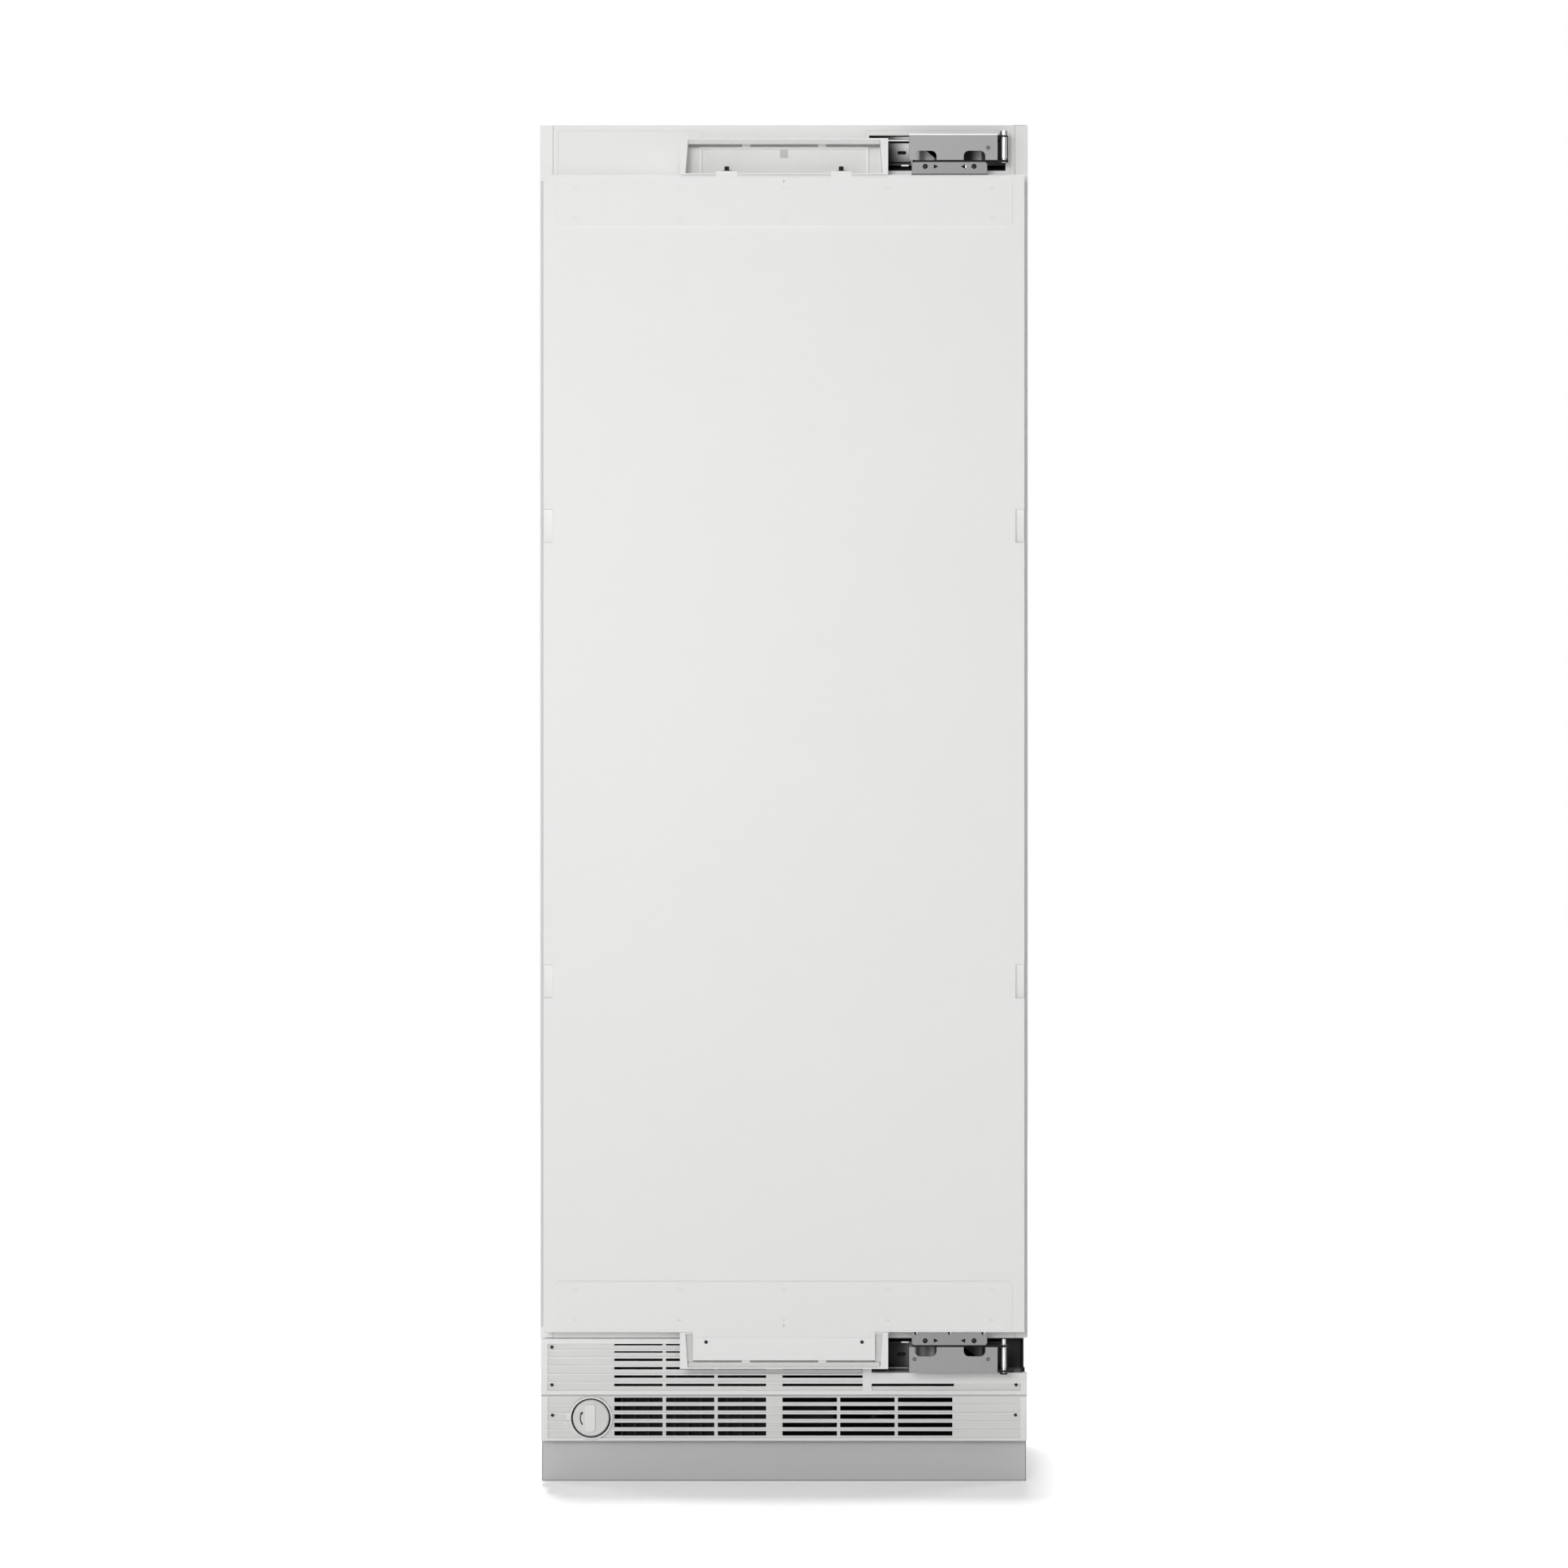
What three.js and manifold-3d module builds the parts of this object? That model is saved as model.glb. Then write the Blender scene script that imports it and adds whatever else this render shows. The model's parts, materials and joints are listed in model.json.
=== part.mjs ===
// A column refrigerator, ready for a furniture panel, with its door closed and hinged on the right.
// Millimetres, +Z up. The front faces -Y, the hinge side is +X, and the origin is on the floor
// under the middle of the whole object.
import * as THREE from "three";
import { mergeVertices } from "three/addons/utils/BufferGeometryUtils.js";
import Module from "manifold-3d";

const wasm = await Module();
wasm.setup();

// Overall size
const overallWidth = 756;
const overallHeight = 2108;
const overallDepth = 608;

// Gaps, cuts and joins
const fitGap = 0.3; // between pieces that touch
const runGap = 0.5; // round a shaft that turns
const overrun = 2; // how far a cut runs past the face that it opens
const embed = 0.5; // how far joined solids run into each other

// Door and its gasket
const doorReveal = 8.5; // cabinet side to door side
const doorTopReveal = 85.4; // cabinet top to door top
const doorBottomReveal = 16.4; // cabinet bottom to door bottom
const doorThickness = 60;
const doorSheet = 1.2;
const doorLinerSheet = 2.5;
const gasketThickness = 11.4;
const gasketWidth = 16;
const gasketOutset = 24; // interior wall to the gasket's outer edge
const notchDepth = 10;
const notchWidth = 13.4;
const notchHeight = 51.6;
const notchOffset = 350; // door middle to the middle of a side notch

// Plates on the door front that a furniture panel is screwed to
const mountingPlateThickness = 1.5;
const mountingPlateInset = 18.4; // door side to plate side
const mountingPlateEdge = 2.7; // door end to plate end
const mountingPlateHeight = 75.5;
const mountingPlateRadius = 7;
const slotLength = 6.1;
const slotHeight = 3.8;
const slotPitch = 160;
const slotColumns = 5;
const slotNear = 20; // door end to the first row of slots
const slotRowPitch = 47;

// Ribbed trays above and below the door
const trayBracketGap = 36.5; // tray's side to the hinge's door bracket
const trayHeight = 56.5; // door end to the far face of the lip
const trayLip = 2.3;
const trayWallRoot = 8.2; // side wall's thickness at the door
const trayWallTip = 12.6; // and at the lip
const trayBack = 3;
const traySetback = 0.6; // tray's rear to the door's rear
const trayVent = 3.4; // slot between the back and the lip
const trayTieInner = 52.5;
const trayTieOuter = 65;
const trayRidgeInset = 29.4;
const trayRidge = 3.2;
const trayRidgeReach = 5;
const trayRibPitch = 20;
const trayRib = 1;
const coverHalfWidth = 139.9;
const coverStart = 8.3; // door end to the cover plate's upper edge
const coverEnd = 43.3;
const coverThickness = 2;
const coverScrewInset = 40.2; // tray's side to the screw's axis
const coverScrewHeight = 15.1;
const coverBossRadius = 6;

// Height adjusters that carry the upper mounting plate
const adjusterTrayInset = 72; // tray's side to the spindle's axis
const adjusterInset = 12; // door front to the spindle's axis
const adjusterRadius = 3;
const adjusterHexRadius = 4.2;
const adjusterHexHeight = 7;
const adjusterWasherRadius = 9.2;
const adjusterWasher = 1;
const adjusterDepth = 20; // how far the spindle reaches into the door
const tabWidth = 33;
const tabDepth = 24;
const tabHeight = 5.8; // door top to the tab's upper face

// Cabinet
const baseHeight = 228; // floor to the cabinet's bottom
const wrapSheet = 1.2;
const linerSheet = 2.5;
const sideWall = 66;
const floorWall = 58;
const roofWall = 127;
const rearWall = 54;
const trimWidth = 20;
const trimThickness = 2;
const fasciaHeight = 96;

// Hinge, with heights counted from the door's end outwards
const pinInset = 39.6; // cabinet side to the pin's axis
const pinForward = 58; // cabinet front to the pin's axis
const pinRadius = 4.8;
const pinNeckRadius = 3.2;
const pinEnd = 69.8;
const upperPinStart = 20.4;
const lowerPinStart = 12.1;
const eyeRadius = 6.8;
const lugEyeRadius = 5.4;
const lugStart = 64.1;
const lugEnd = 68.9;
const leafThickness = 3;
const leafForward = 9.8; // pin axis to the leaf's front face
const leafReach = 146; // pin axis to the leaf's far end
const leafPinGap = 10; // pin axis to the leaf's near end
const leafStart = 23.4;
const leafEnd = 63.4;
const flangeStart = 59.8;
const flangeThickness = 2;
const armStart = 20.9;
const armThickness = 3;
const armReach = 22;
const cutoutFar = 137;
const cutoutNear = 62;
const cutoutWidth = 33;
const cutoutTop = 37.6;
const cutoutRadius = 8;
const tongueFar = 102;
const tongueWidth = 39;
const tongueEnd = 50;
const footFar = 138;
const footWidth = 108;
const footStart = 5;
const footEnd = 20;
const doorBracketFar = 141.9;
const doorBracketWidth = 115.8;
const doorBracketEnd = 20.4;
const doorBracketStart = 0.3;
const doorBracketDepth = 36;
const doorBracketSheet = 2.5;
const doorBracketRadius = 4.4;
const bracketScrewFar = 121.3;
const bracketScrewPitch = 75.1;
const bracketScrewHeight = 13.6;
const bracketScrewRadius = 3.8;
const bracketScrewBore = 2.4;

// Hinge pockets and the arms fixed in them
const pocketReach = 206.4; // pin axis to the pocket's far side
const pocketPinSide = 5;
const pocketStart = 14.9;
const pocketEnd = 69.4;
const pocketDepth = 60;
const pocketWall = 2;
const lowerPocketPinSide = 33.6;
const mountWebInset = 22; // pocket's back to the arm's web
const mountSheet = 3;
const mountReach = 196;
const mountFlange = 26;
const mountStandWidth = 18;
const mountStart = 24.7;
const mountSlotFar = 161.5;
const mountSlotWidth = 13.5;
const mountSlotHeight = 5.6;
const mountSlotMiddle = 47.5;

// Covers in the fascia over the two hinge positions
const hingeCoverWidth = 224;
const hingeCoverPinSide = 12.1; // pin axis to the cover's outer side
const hingeCoverTop = 8; // cabinet top to the cover's top
const hingeCoverHeight = 84;
const hingeCoverSeam = 0.8;
const hingeCoverRadius = 5;

// Door liner and bins
const dikeClearance = 22; // interior wall to the dike's side
const dikeEndClearance = 10;
const dikeWidth = 24;
const dikeDepth = 32;
const binDepth = 100;
const binHeight = 96;
const binWall = 2.5;
const binGap = 0.6;
const binLug = 8;
const binHeightShares = [0.29, 0.53, 0.78];

// Shelves and crisper drawers
const interiorFrontInset = 112; // door's rear to the shelf fronts
const shelfThickness = 5;
const shelfRim = 16;
const shelfRimDepth = 9;
const ledge = 9;
const ledgeHeight = 8;
const shelfShares = [0.4, 0.58, 0.77];
const drawerHeight = 168;
const drawerPitch = 196;
const drawerFloorGap = 8;
const drawerWall = 3;
const drawerFrontThickness = 9;
const drawerSideGap = 6;
const drawerFlange = 5;
const drawerRearGap = 35.2; // drawer's rear to the evaporator cover
const crisperCoverGap = 12;
const crisperCoverThickness = 6;

// Cold side at the back of the interior
const evaporatorSpace = 42; // liner's back to the rear face of the cover
const evaporatorCoverSheet = 3;
const evaporatorWidth = 460;
const evaporatorHeight = 260;
const evaporatorDepth = 34;
const evaporatorMiddleShare = 0.42;
const evaporatorFin = 3;
const evaporatorFinCount = 16;
const evaporatorFinDepth = 22;
const coldFanRadius = 48;
const coldFanDepth = 18;
const coldFanShare = 0.72;
const ductClearance = 4;
const ductWall = 3;
const ductBar = 10;
const coldMotorRadius = 16;
const coldMotorDepth = 12;
const airSlotWidth = 120;
const airSlotHeight = 8;
const airSlotPitch = 22;
const airSlotCount = 4;
const airSlotTop = 40;

// Control panel under the interior's roof
const controlPanelWidth = 420;
const controlPanelDepth = 90;
const controlPanelHeight = 22;
const controlPanelInset = 20;

// Base frame and what closes it
const baseInset = 7; // cabinet side to the frame's side
const baseSheet = 2;
const panHeight = 56; // floor to the frame's bottom sheet
const toeHeight = 68.5;
const toeLift = 1;
const toeSetback = 43; // cabinet front to the toe kick
const toeThickness = 2;
const baseRearInset = 2;
const rearCoverSheet = 1.5;
const rearSlotWidth = 90;
const rearSlotHeight = 8;
const rearSlotPitch = 18;
const rearSlotRows = 6;
const inletWidth = 28;
const inletHeight = 22;
const inletDepth = 30;
const inletInset = 60;
const inletWall = 3;

// Ventilation grilles
const grilleThickness = 8;
const grilleFieldDepth = 4;
const grilleInset = 1;
const grilleBar = 2.3;
const grillePitch = 13;
const grilleFinePitch = 11.35;
const upperGrilleBottom = 139.8;
const upperGrilleTop = 226.9;
const upperFieldTop = 218.7;
const upperFieldSide = 10.4; // grille side to its recessed field
const upperSlot = 4.5;
const upperFineSlot = 3;
const upperRows = 6;
const upperFineRows = 2;
const lowerGrilleBottom = 67.5;
const lowerGrilleTop = 139.2;
const lowerGrilleSetback = 6;
const lowerFieldTop = 134.8;
const lowerSlot = 7.7;
const lowerRows = 5;
const grilleMiddleLeft = 27.8; // the plain post in the middle
const grilleMiddleRight = 2.4;
const windowPitch = 80.3;
const windowWidth = 75;
const leftWindows = 3;
const notchPostWidth = 14;
const notchPinSide = 202.4; // pin axis to the hinge notch's far side
const notchHeightZ = 174;
const notchLedge = 2;
const notchLedgeDepth = 76;
const rightSlotWidth = 127.6;
const rightWindowPitch = 89.6;
const rightWindowWidth = 84.6;
const rightWindows = 3;
const grilleReturn = 5;

// Filter
const filterInset = 78.5; // cabinet side to the filter's axis
const filterZ = 103;
const filterCollarRadius = 33.6;
const filterCollarReach = 3; // how far the collar stands in front of the lower grille
const filterBoreRadius = 31;
const filterHousingLength = 290;
const filterEndWall = 5;
const capRadius = 28;
const capThickness = 12;
const capGripWidth = 15.4;
const capGripHeight = 41.6;
const capGripReach = 5;
const capGripOffset = 1.6;
const capGripRadius = 3.2;
const cartridgeRadius = 27;
const cartridgeLength = 240;
const cartridgeSeal = 14;
const filterSaddleWidth = 30;

// Machine compartment
const condenserFilterGap = 10.9;
const condenserWidth = 230;
const condenserTopGap = 19.7; // to the cabinet's bottom
const condenserDepth = 44;
const condenserSetback = 40;
const condenserFin = 4;
const condenserFinCount = 12;
const condenserFinDepth = 28;
const hotFanFloorGap = 17.7; // base frame's sheet to the fan's rim
const hotFanDepth = 24;
const hotFanTopGap = 20; // cabinet's bottom to the fan's rim
const shroudGap = 6;
const shroudWidth = 200;
const shroudSheet = 3;
const shroudRim = 30;
const hotMotorRadius = 20;
const hotMotorDepth = 22;
const compressorInset = 163; // cabinet side to the compressor's axis
const compressorRearInset = 134;
const compressorRadius = 84;
const compressorTopGap = 5.7; // to the cabinet's bottom
const compressorBaseRadius = 67;
const compressorPlateDepth = 126;
const compressorFoot = 14;
const compressorFootPitch = 98;
const compressorCrown = 34;
const compressorShoulder = 11;
const drainPanFilterGap = 65.9;
const drainPanCompressorGap = 51;
const drainPanRearInset = 59;
const drainPanDepth = 190;
const drainPanHeight = 34;
const drainPanWall = 2;

// Feet and rollers
const footInset = 44;
const frontFootInset = 65.9; // frame's front to the front feet
const footPadRadius = 21;
const footPadHeight = 10;
const footStudRadius = 6;
const footNutRadius = 10;
const footNutHeight = 7;
const rollerRadius = 24;
const rollerWidth = 20;
const rollerAxleRadius = 5;
const rollerRearInset = 52;
const rollerEar = 3;
const rollerEarDepth = 26;

// Fan shapes shared by both fans
const fanBlades = 7;
const fanHubShare = 0.36;
const fanBladeThickness = 2.4;
const fanBladePitch = Math.PI / 5;
const fanShaftRadius = 3;
const fanShaftSeat = 8;

// Facets
const roundSides = 24;
const smallSides = 12;
const hexSides = 6;
const cornerSteps = 3;
const slotSteps = 2;

// Planes and heights that follow from the sizes
const halfWidth = overallWidth / 2;
const frontY = -overallDepth / 2;
const backY = overallDepth / 2;
const doorFrontY = frontY + mountingPlateThickness + fitGap;
const doorRearY = doorFrontY + doorThickness;
const cabinetFrontY = doorRearY + gasketThickness + 2 * fitGap;
const wrapFrontY = cabinetFrontY + trimThickness + fitGap;
const doorHalfWidth = halfWidth - doorReveal;
const doorTopZ = overallHeight - doorTopReveal;
const doorBottomZ = baseHeight + doorBottomReveal;
const doorMiddleZ = (doorTopZ + doorBottomZ) / 2;
const interiorHalfWidth = halfWidth - sideWall;
const interiorBottomZ = baseHeight + floorWall;
const interiorTopZ = overallHeight - roofWall;
const interiorHeight = interiorTopZ - interiorBottomZ;
const interiorBackY = backY - rearWall;
const fasciaBottomZ = overallHeight - fasciaHeight;
const pinX = halfWidth - pinInset;
const pinY = cabinetFrontY - pinForward;
const leafFrontY = pinY - leafForward;
const trayHalfWidth = pinX - doorBracketFar - trayBracketGap;
const trayRidgeHalfWidth = trayHalfWidth - trayRidgeInset;
const coverScrewX = trayHalfWidth - coverScrewInset;
const adjusterX = trayHalfWidth - adjusterTrayInset;
const shelfFrontY = doorRearY + interiorFrontInset;
const coldCoverY = interiorBackY - evaporatorSpace - evaporatorCoverSheet;
const panTopZ = panHeight + baseSheet;
const baseHalfWidth = halfWidth - baseInset;
const baseFrontY = cabinetFrontY + lowerGrilleSetback + grilleThickness + fitGap;
const lowerGrilleY = cabinetFrontY + lowerGrilleSetback;
const toeY = cabinetFrontY + toeSetback;
const notchPostX = pinX - notchPinSide;
const filterX = filterInset - halfWidth;
const filterSideX = filterX + filterCollarRadius;
const condenserX = filterSideX + condenserFilterGap + condenserWidth / 2;
const floorZ = panTopZ + fitGap;
const condenserHeight = baseHeight - condenserTopGap - floorZ;
const hotFanRadius = (baseHeight - hotFanTopGap - hotFanFloorGap - floorZ) / 2;
const hotFanZ = baseHeight - hotFanTopGap - hotFanRadius;
const compressorHeight = baseHeight - compressorTopGap - floorZ - compressorFoot;
const compressorX = halfWidth - compressorInset;
const compressorY = backY - compressorRearInset;
const frontFootY = baseFrontY + frontFootInset;

// Ranges along an axis
const span = (middle, size) => [middle - size / 2, middle + size / 2];
const from = (start, size) => [start, start + size];
const grow = (range, by) => [Math.min(...range) - by, Math.max(...range) + by];
const both = (half) => [-half, half];

// A closed three.js geometry as a solid that can be joined and cut
function solid(geometry) {
  geometry.deleteAttribute("normal");
  geometry.deleteAttribute("uv");
  const merged = mergeVertices(geometry);
  return new wasm.Manifold(
    new wasm.Mesh({
      numProp: 3,
      vertProperties: merged.attributes.position.array,
      triVerts: new Uint32Array(merged.index.array),
    }),
  );
}

function block(xs, ys, zs) {
  const [x, y, z] = [xs, ys, zs].map((range) => [Math.min(...range), Math.max(...range)]);
  const geometry = new THREE.BoxGeometry(x[1] - x[0], y[1] - y[0], z[1] - z[0]);
  geometry.translate((x[0] + x[1]) / 2, (y[0] + y[1]) / 2, (z[0] + z[1]) / 2);
  return solid(geometry);
}

// A cylinder along an axis, over a range of it, with the other two coordinates of its middle in order
function rod(axis, radius, range, u, v, sides = roundSides) {
  const [low, high] = [Math.min(...range), Math.max(...range)];
  const geometry = new THREE.CylinderGeometry(radius, radius, high - low, sides);
  const middle = (low + high) / 2;
  if (axis === "x") geometry.rotateZ(Math.PI / 2).translate(middle, u, v);
  if (axis === "y") geometry.translate(u, middle, v);
  if (axis === "z") geometry.rotateX(Math.PI / 2).translate(u, v, middle);
  return solid(geometry);
}

// A rectangle with rounded corners, in X and Z
function roundedRect(xs, zs, radius) {
  const [x0, x1, z0, z1] = [Math.min(...xs), Math.max(...xs), Math.min(...zs), Math.max(...zs)];
  const shape = new THREE.Shape();
  shape.absarc(x1 - radius, z0 + radius, radius, -Math.PI / 2, 0);
  shape.absarc(x1 - radius, z1 - radius, radius, 0, Math.PI / 2);
  shape.absarc(x0 + radius, z1 - radius, radius, Math.PI / 2, Math.PI);
  shape.absarc(x0 + radius, z0 + radius, radius, Math.PI, 1.5 * Math.PI);
  shape.closePath();
  return shape;
}

// A flat sheet that faces the front: a shape in X and Z, over a range of Y
function sheet(shape, ys, steps = cornerSteps) {
  const [low, high] = [Math.min(...ys), Math.max(...ys)];
  const geometry = new THREE.ExtrudeGeometry(shape, {
    depth: high - low,
    bevelEnabled: false,
    curveSegments: steps,
  });
  return solid(geometry.rotateX(Math.PI / 2).translate(0, high, 0));
}

// A shape drawn in Y and Z, run along X
function profile(points, xs) {
  const shape = new THREE.Shape(points.map(([y, z]) => new THREE.Vector2(y, z)));
  const geometry = new THREE.ExtrudeGeometry(shape, {
    depth: Math.max(...xs) - Math.min(...xs),
    bevelEnabled: false,
  });
  const [x, y, z] = [0, 1, 2].map((i) => new THREE.Vector3().setComponent(i, 1));
  geometry.applyMatrix4(new THREE.Matrix4().makeBasis(y, z, x));
  return solid(geometry.translate(Math.min(...xs), 0, 0));
}

const join = (...solids) => solids.reduce((all, one) => all.add(one));
const cut = (body, ...tools) => tools.reduce((all, one) => all.subtract(one), body);

// Materials
function finish(color, roughness, metalness = 0) {
  return new THREE.MeshStandardMaterial({ color, roughness, metalness });
}
const whitePaint = finish(0xececec, 0.45);
const whitePlastic = finish(0xeeeeec, 0.5);
const greySteel = finish(0xa9a9a8, 0.5, 0.6);
const chrome = finish(0xd8d8d6, 0.15, 1);
const blackPlastic = finish(0x141414, 0.6);
const darkSteel = finish(0x2c2c2e, 0.55, 0.5);
const toePaint = finish(0xa9a9a9, 0.6);
const foam = finish(0xe8dfc0, 0.95);
const glass = finish(0xdfeeea, 0.08);
const clearPlastic = finish(0xe4eef0, 0.15);
const rubber = finish(0xd9d9d7, 0.8);
const aluminium = finish(0xb9bdc0, 0.35, 0.9);
const blackPaint = finish(0x1d1d1f, 0.4, 0.3);

const refrigerator = new THREE.Group();

function piece(name, body, material) {
  const made = body.getMesh();
  const count = made.vertProperties.length / made.numProp;
  const positions = new Float32Array(count * 3);
  for (let i = 0; i < count; i += 1) {
    positions.set(made.vertProperties.subarray(i * made.numProp, i * made.numProp + 3), i * 3);
  }
  const geometry = new THREE.BufferGeometry();
  geometry.setAttribute("position", new THREE.BufferAttribute(positions, 3));
  geometry.setIndex(new THREE.BufferAttribute(new Uint32Array(made.triVerts), 1));
  geometry.computeVertexNormals();
  const mesh = new THREE.Mesh(geometry, material);
  mesh.name = name;
  refrigerator.add(mesh);
}

// Hinge, the same at both ends of the door: direction 1 is the upper one, -1 the lower one
function hingeEnd(direction) {
  const edge = direction > 0 ? doorTopZ : doorBottomZ;
  return (low, high) => [edge + direction * low, edge + direction * high];
}

// A screw place or slot along the hinge lies this far from the pin's axis, towards the door's middle
const beforePin = (far, width) => [pinX - far, pinX - far + width];

// The two screw holes that the leaf's foot and the door bracket share
function bracketScrews(radius, depth, up) {
  const [height] = up(bracketScrewHeight, bracketScrewHeight);
  return [bracketScrewFar, bracketScrewFar - bracketScrewPitch].map((far) =>
    rod("y", radius, grow(depth, overrun), pinX - far, height, smallSides),
  );
}

function hingeLeaf(direction) {
  const up = hingeEnd(direction);
  const backFace = leafFrontY + leafThickness;
  const plateX = beforePin(leafReach, leafReach - leafPinGap);
  const plate = block(plateX, [leafFrontY, backFace], up(leafStart, leafEnd));
  const cutouts = [cutoutFar, cutoutNear].map((far) =>
    sheet(
      roundedRect(beforePin(far, cutoutWidth), up(leafStart - 2 * cutoutRadius, cutoutTop), cutoutRadius),
      grow([leafFrontY, backFace], overrun),
    ),
  );
  const footFace = backFace + fitGap;
  const tongueX = beforePin(tongueFar, tongueWidth);
  const footY = from(footFace, leafThickness);
  const tongueY = [backFace - embed, footFace + leafThickness];
  const tongue = block(tongueX, tongueY, up(leafStart + fitGap, tongueEnd));
  const neck = block(tongueX, footY, up(footStart, leafStart + 2 * embed));
  const foot = block(beforePin(footFar, footWidth), footY, up(footStart, footEnd));
  const flangeHeights = up(flangeStart, flangeStart + flangeThickness);
  const armHeights = up(armStart, armStart + armThickness);
  const depth = [leafFrontY + embed, pinY + eyeRadius];
  const flange = block([pinX - leafReach + embed, pinX], depth, flangeHeights);
  const arm = block([pinX - armReach, pinX], depth, armHeights);
  const eyes = [flangeHeights, armHeights].map((heights) => rod("z", eyeRadius, heights, pinX, pinY));
  const bore = rod("z", pinRadius + runGap, grow(up(armStart, leafEnd), overrun), pinX, pinY);
  const bores = bracketScrews(bracketScrewBore, footY, up);
  return cut(join(cut(plate, ...cutouts), tongue, neck, foot, flange, arm, ...eyes), bore, ...bores);
}

function hingeDoorBracket(direction) {
  const up = hingeEnd(direction);
  const across = beforePin(doorBracketFar, doorBracketWidth);
  const face = [leafFrontY, leafFrontY + leafThickness];
  const hidden = -doorBracketRadius * 2;
  const rounded = sheet(roundedRect(across, up(hidden, doorBracketEnd), doorBracketRadius), face);
  const belowZ = up(hidden - overrun, doorBracketStart);
  const below = block(grow(across, overrun), grow(face, overrun), belowZ);
  const flangeY = [leafFrontY + embed, leafFrontY + doorBracketDepth];
  const flange = block(across, flangeY, up(doorBracketStart, doorBracketStart + doorBracketSheet));
  return cut(join(cut(rounded, below), flange), ...bracketScrews(bracketScrewRadius, face, up));
}

function hingePin(direction, start) {
  const up = hingeEnd(direction);
  return join(
    rod("z", pinRadius, up(start, lugStart - fitGap), pinX, pinY),
    rod("z", pinNeckRadius, up(lugStart - fitGap - embed, pinEnd), pinX, pinY),
  );
}

// The arm fixed in the pocket: a slotted channel with a lug that reaches forward to the pin
function hingeMount(direction, pocketBack) {
  const up = hingeEnd(direction);
  const webY = pocketBack - mountWebInset;
  const across = [pinX - mountReach, pinX + lugEyeRadius - fitGap - pocketWall];
  const web = block(across, from(webY, mountSheet), up(mountStart, lugEnd));
  const flanges = [mountStart, lugEnd - mountSheet].map((height) =>
    block(across, [webY - mountFlange, webY + embed], up(height, height + mountSheet)),
  );
  const stands = [across[0], across[1] - mountStandWidth].map((x) =>
    block(from(x, mountStandWidth), [webY + embed, pocketBack - fitGap], up(mountStart, lugEnd)),
  );
  const lug = block([pinX - lugEyeRadius, across[1]], [pinY, webY + embed], up(lugStart, lugEnd));
  const eye = rod("z", lugEyeRadius, up(lugStart, lugEnd), pinX, pinY);
  const bore = rod("z", pinNeckRadius + fitGap, grow(up(lugStart, lugEnd), overrun), pinX, pinY);
  const slotZ = grow(up(mountSlotMiddle, mountSlotMiddle), mountSlotHeight / 2);
  const slot = sheet(
    roundedRect(beforePin(mountSlotFar, mountSlotWidth), slotZ, mountSlotHeight / 2 - embed),
    grow(from(webY, mountSheet), overrun),
  );
  return cut(join(web, ...flanges, ...stands, lug, eye), bore, slot);
}

// A box around a space, open at the front
function pocket(across, depth, heights) {
  const inside = block(across, [depth[0] - overrun, depth[1]], heights);
  const wallY = [depth[0], depth[1] + pocketWall];
  return cut(block(grow(across, pocketWall), wallY, grow(heights, pocketWall)), inside);
}

// The same without a floor, where the upper grille's ledge closes it from below
function hood(across, depth, [floor, roof]) {
  const inside = block(across, [depth[0] - overrun, depth[1]], [floor - overrun, roof]);
  const wallY = [depth[0], depth[1] + pocketWall];
  return cut(block(grow(across, pocketWall), wallY, [floor, roof + pocketWall]), inside);
}

const upperUp = hingeEnd(1);
const lowerUp = hingeEnd(-1);
const upperPocketX = [pinX - pocketReach, pinX + pocketPinSide];
const upperPocketZ = upperUp(pocketStart, pocketEnd);
const upperPocketY = from(wrapFrontY, pocketDepth);
const lowerPocketX = [pinX - pocketReach, pinX + lowerPocketPinSide - pocketWall];
const lowerPocketZ = [notchHeightZ + fitGap, baseHeight - fitGap - pocketWall];
const lowerPocketY = [
  cabinetFrontY + grilleThickness + fitGap,
  cabinetFrontY + notchLedgeDepth - pocketWall,
];

for (const [end, direction, start, pocketBack] of [
  ["upper", 1, upperPinStart, upperPocketY[1]],
  ["lower", -1, lowerPinStart, lowerPocketY[1]],
]) {
  piece("hinge_leaf_" + end, hingeLeaf(direction), greySteel);
  piece("hinge_door_bracket_" + end, hingeDoorBracket(direction), greySteel);
  piece("hinge_pin_" + end, hingePin(direction, start), chrome);
  piece("hinge_mount_" + end, hingeMount(direction, pocketBack), greySteel);
}
piece("hinge_pocket_upper", pocket(upperPocketX, upperPocketY, upperPocketZ), blackPlastic);
piece("hinge_pocket_lower", hood(lowerPocketX, lowerPocketY, lowerPocketZ), blackPlastic);

// Cabinet: outer wrap, foam, liner and the steel frame that the gasket seals on
const wrapX = both(halfWidth);
const wrapZ = [baseHeight, overallHeight];
const interiorX = both(interiorHalfWidth);
const interiorZ = [interiorBottomZ, interiorTopZ];

function cabinetWrap() {
  const insideY = [wrapFrontY - overrun, backY - wrapSheet];
  const inside = block(grow(wrapX, -wrapSheet), insideY, grow(wrapZ, -wrapSheet));
  return cut(block(wrapX, [wrapFrontY, backY], wrapZ), inside);
}

function innerLiner() {
  const outsideY = [wrapFrontY, interiorBackY + linerSheet];
  const outside = block(grow(interiorX, linerSheet), outsideY, grow(interiorZ, linerSheet));
  let body = cut(outside, block(interiorX, [wrapFrontY - overrun, interiorBackY], interiorZ));
  for (const side of [-1, 1]) {
    for (const [z, front] of ledges) {
      const across = [side * (interiorHalfWidth - ledge), side * (interiorHalfWidth + embed)];
      body = body.add(block(across, [front, coldCoverY - fitGap], [z - ledgeHeight, z]));
    }
  }
  return body;
}

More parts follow.
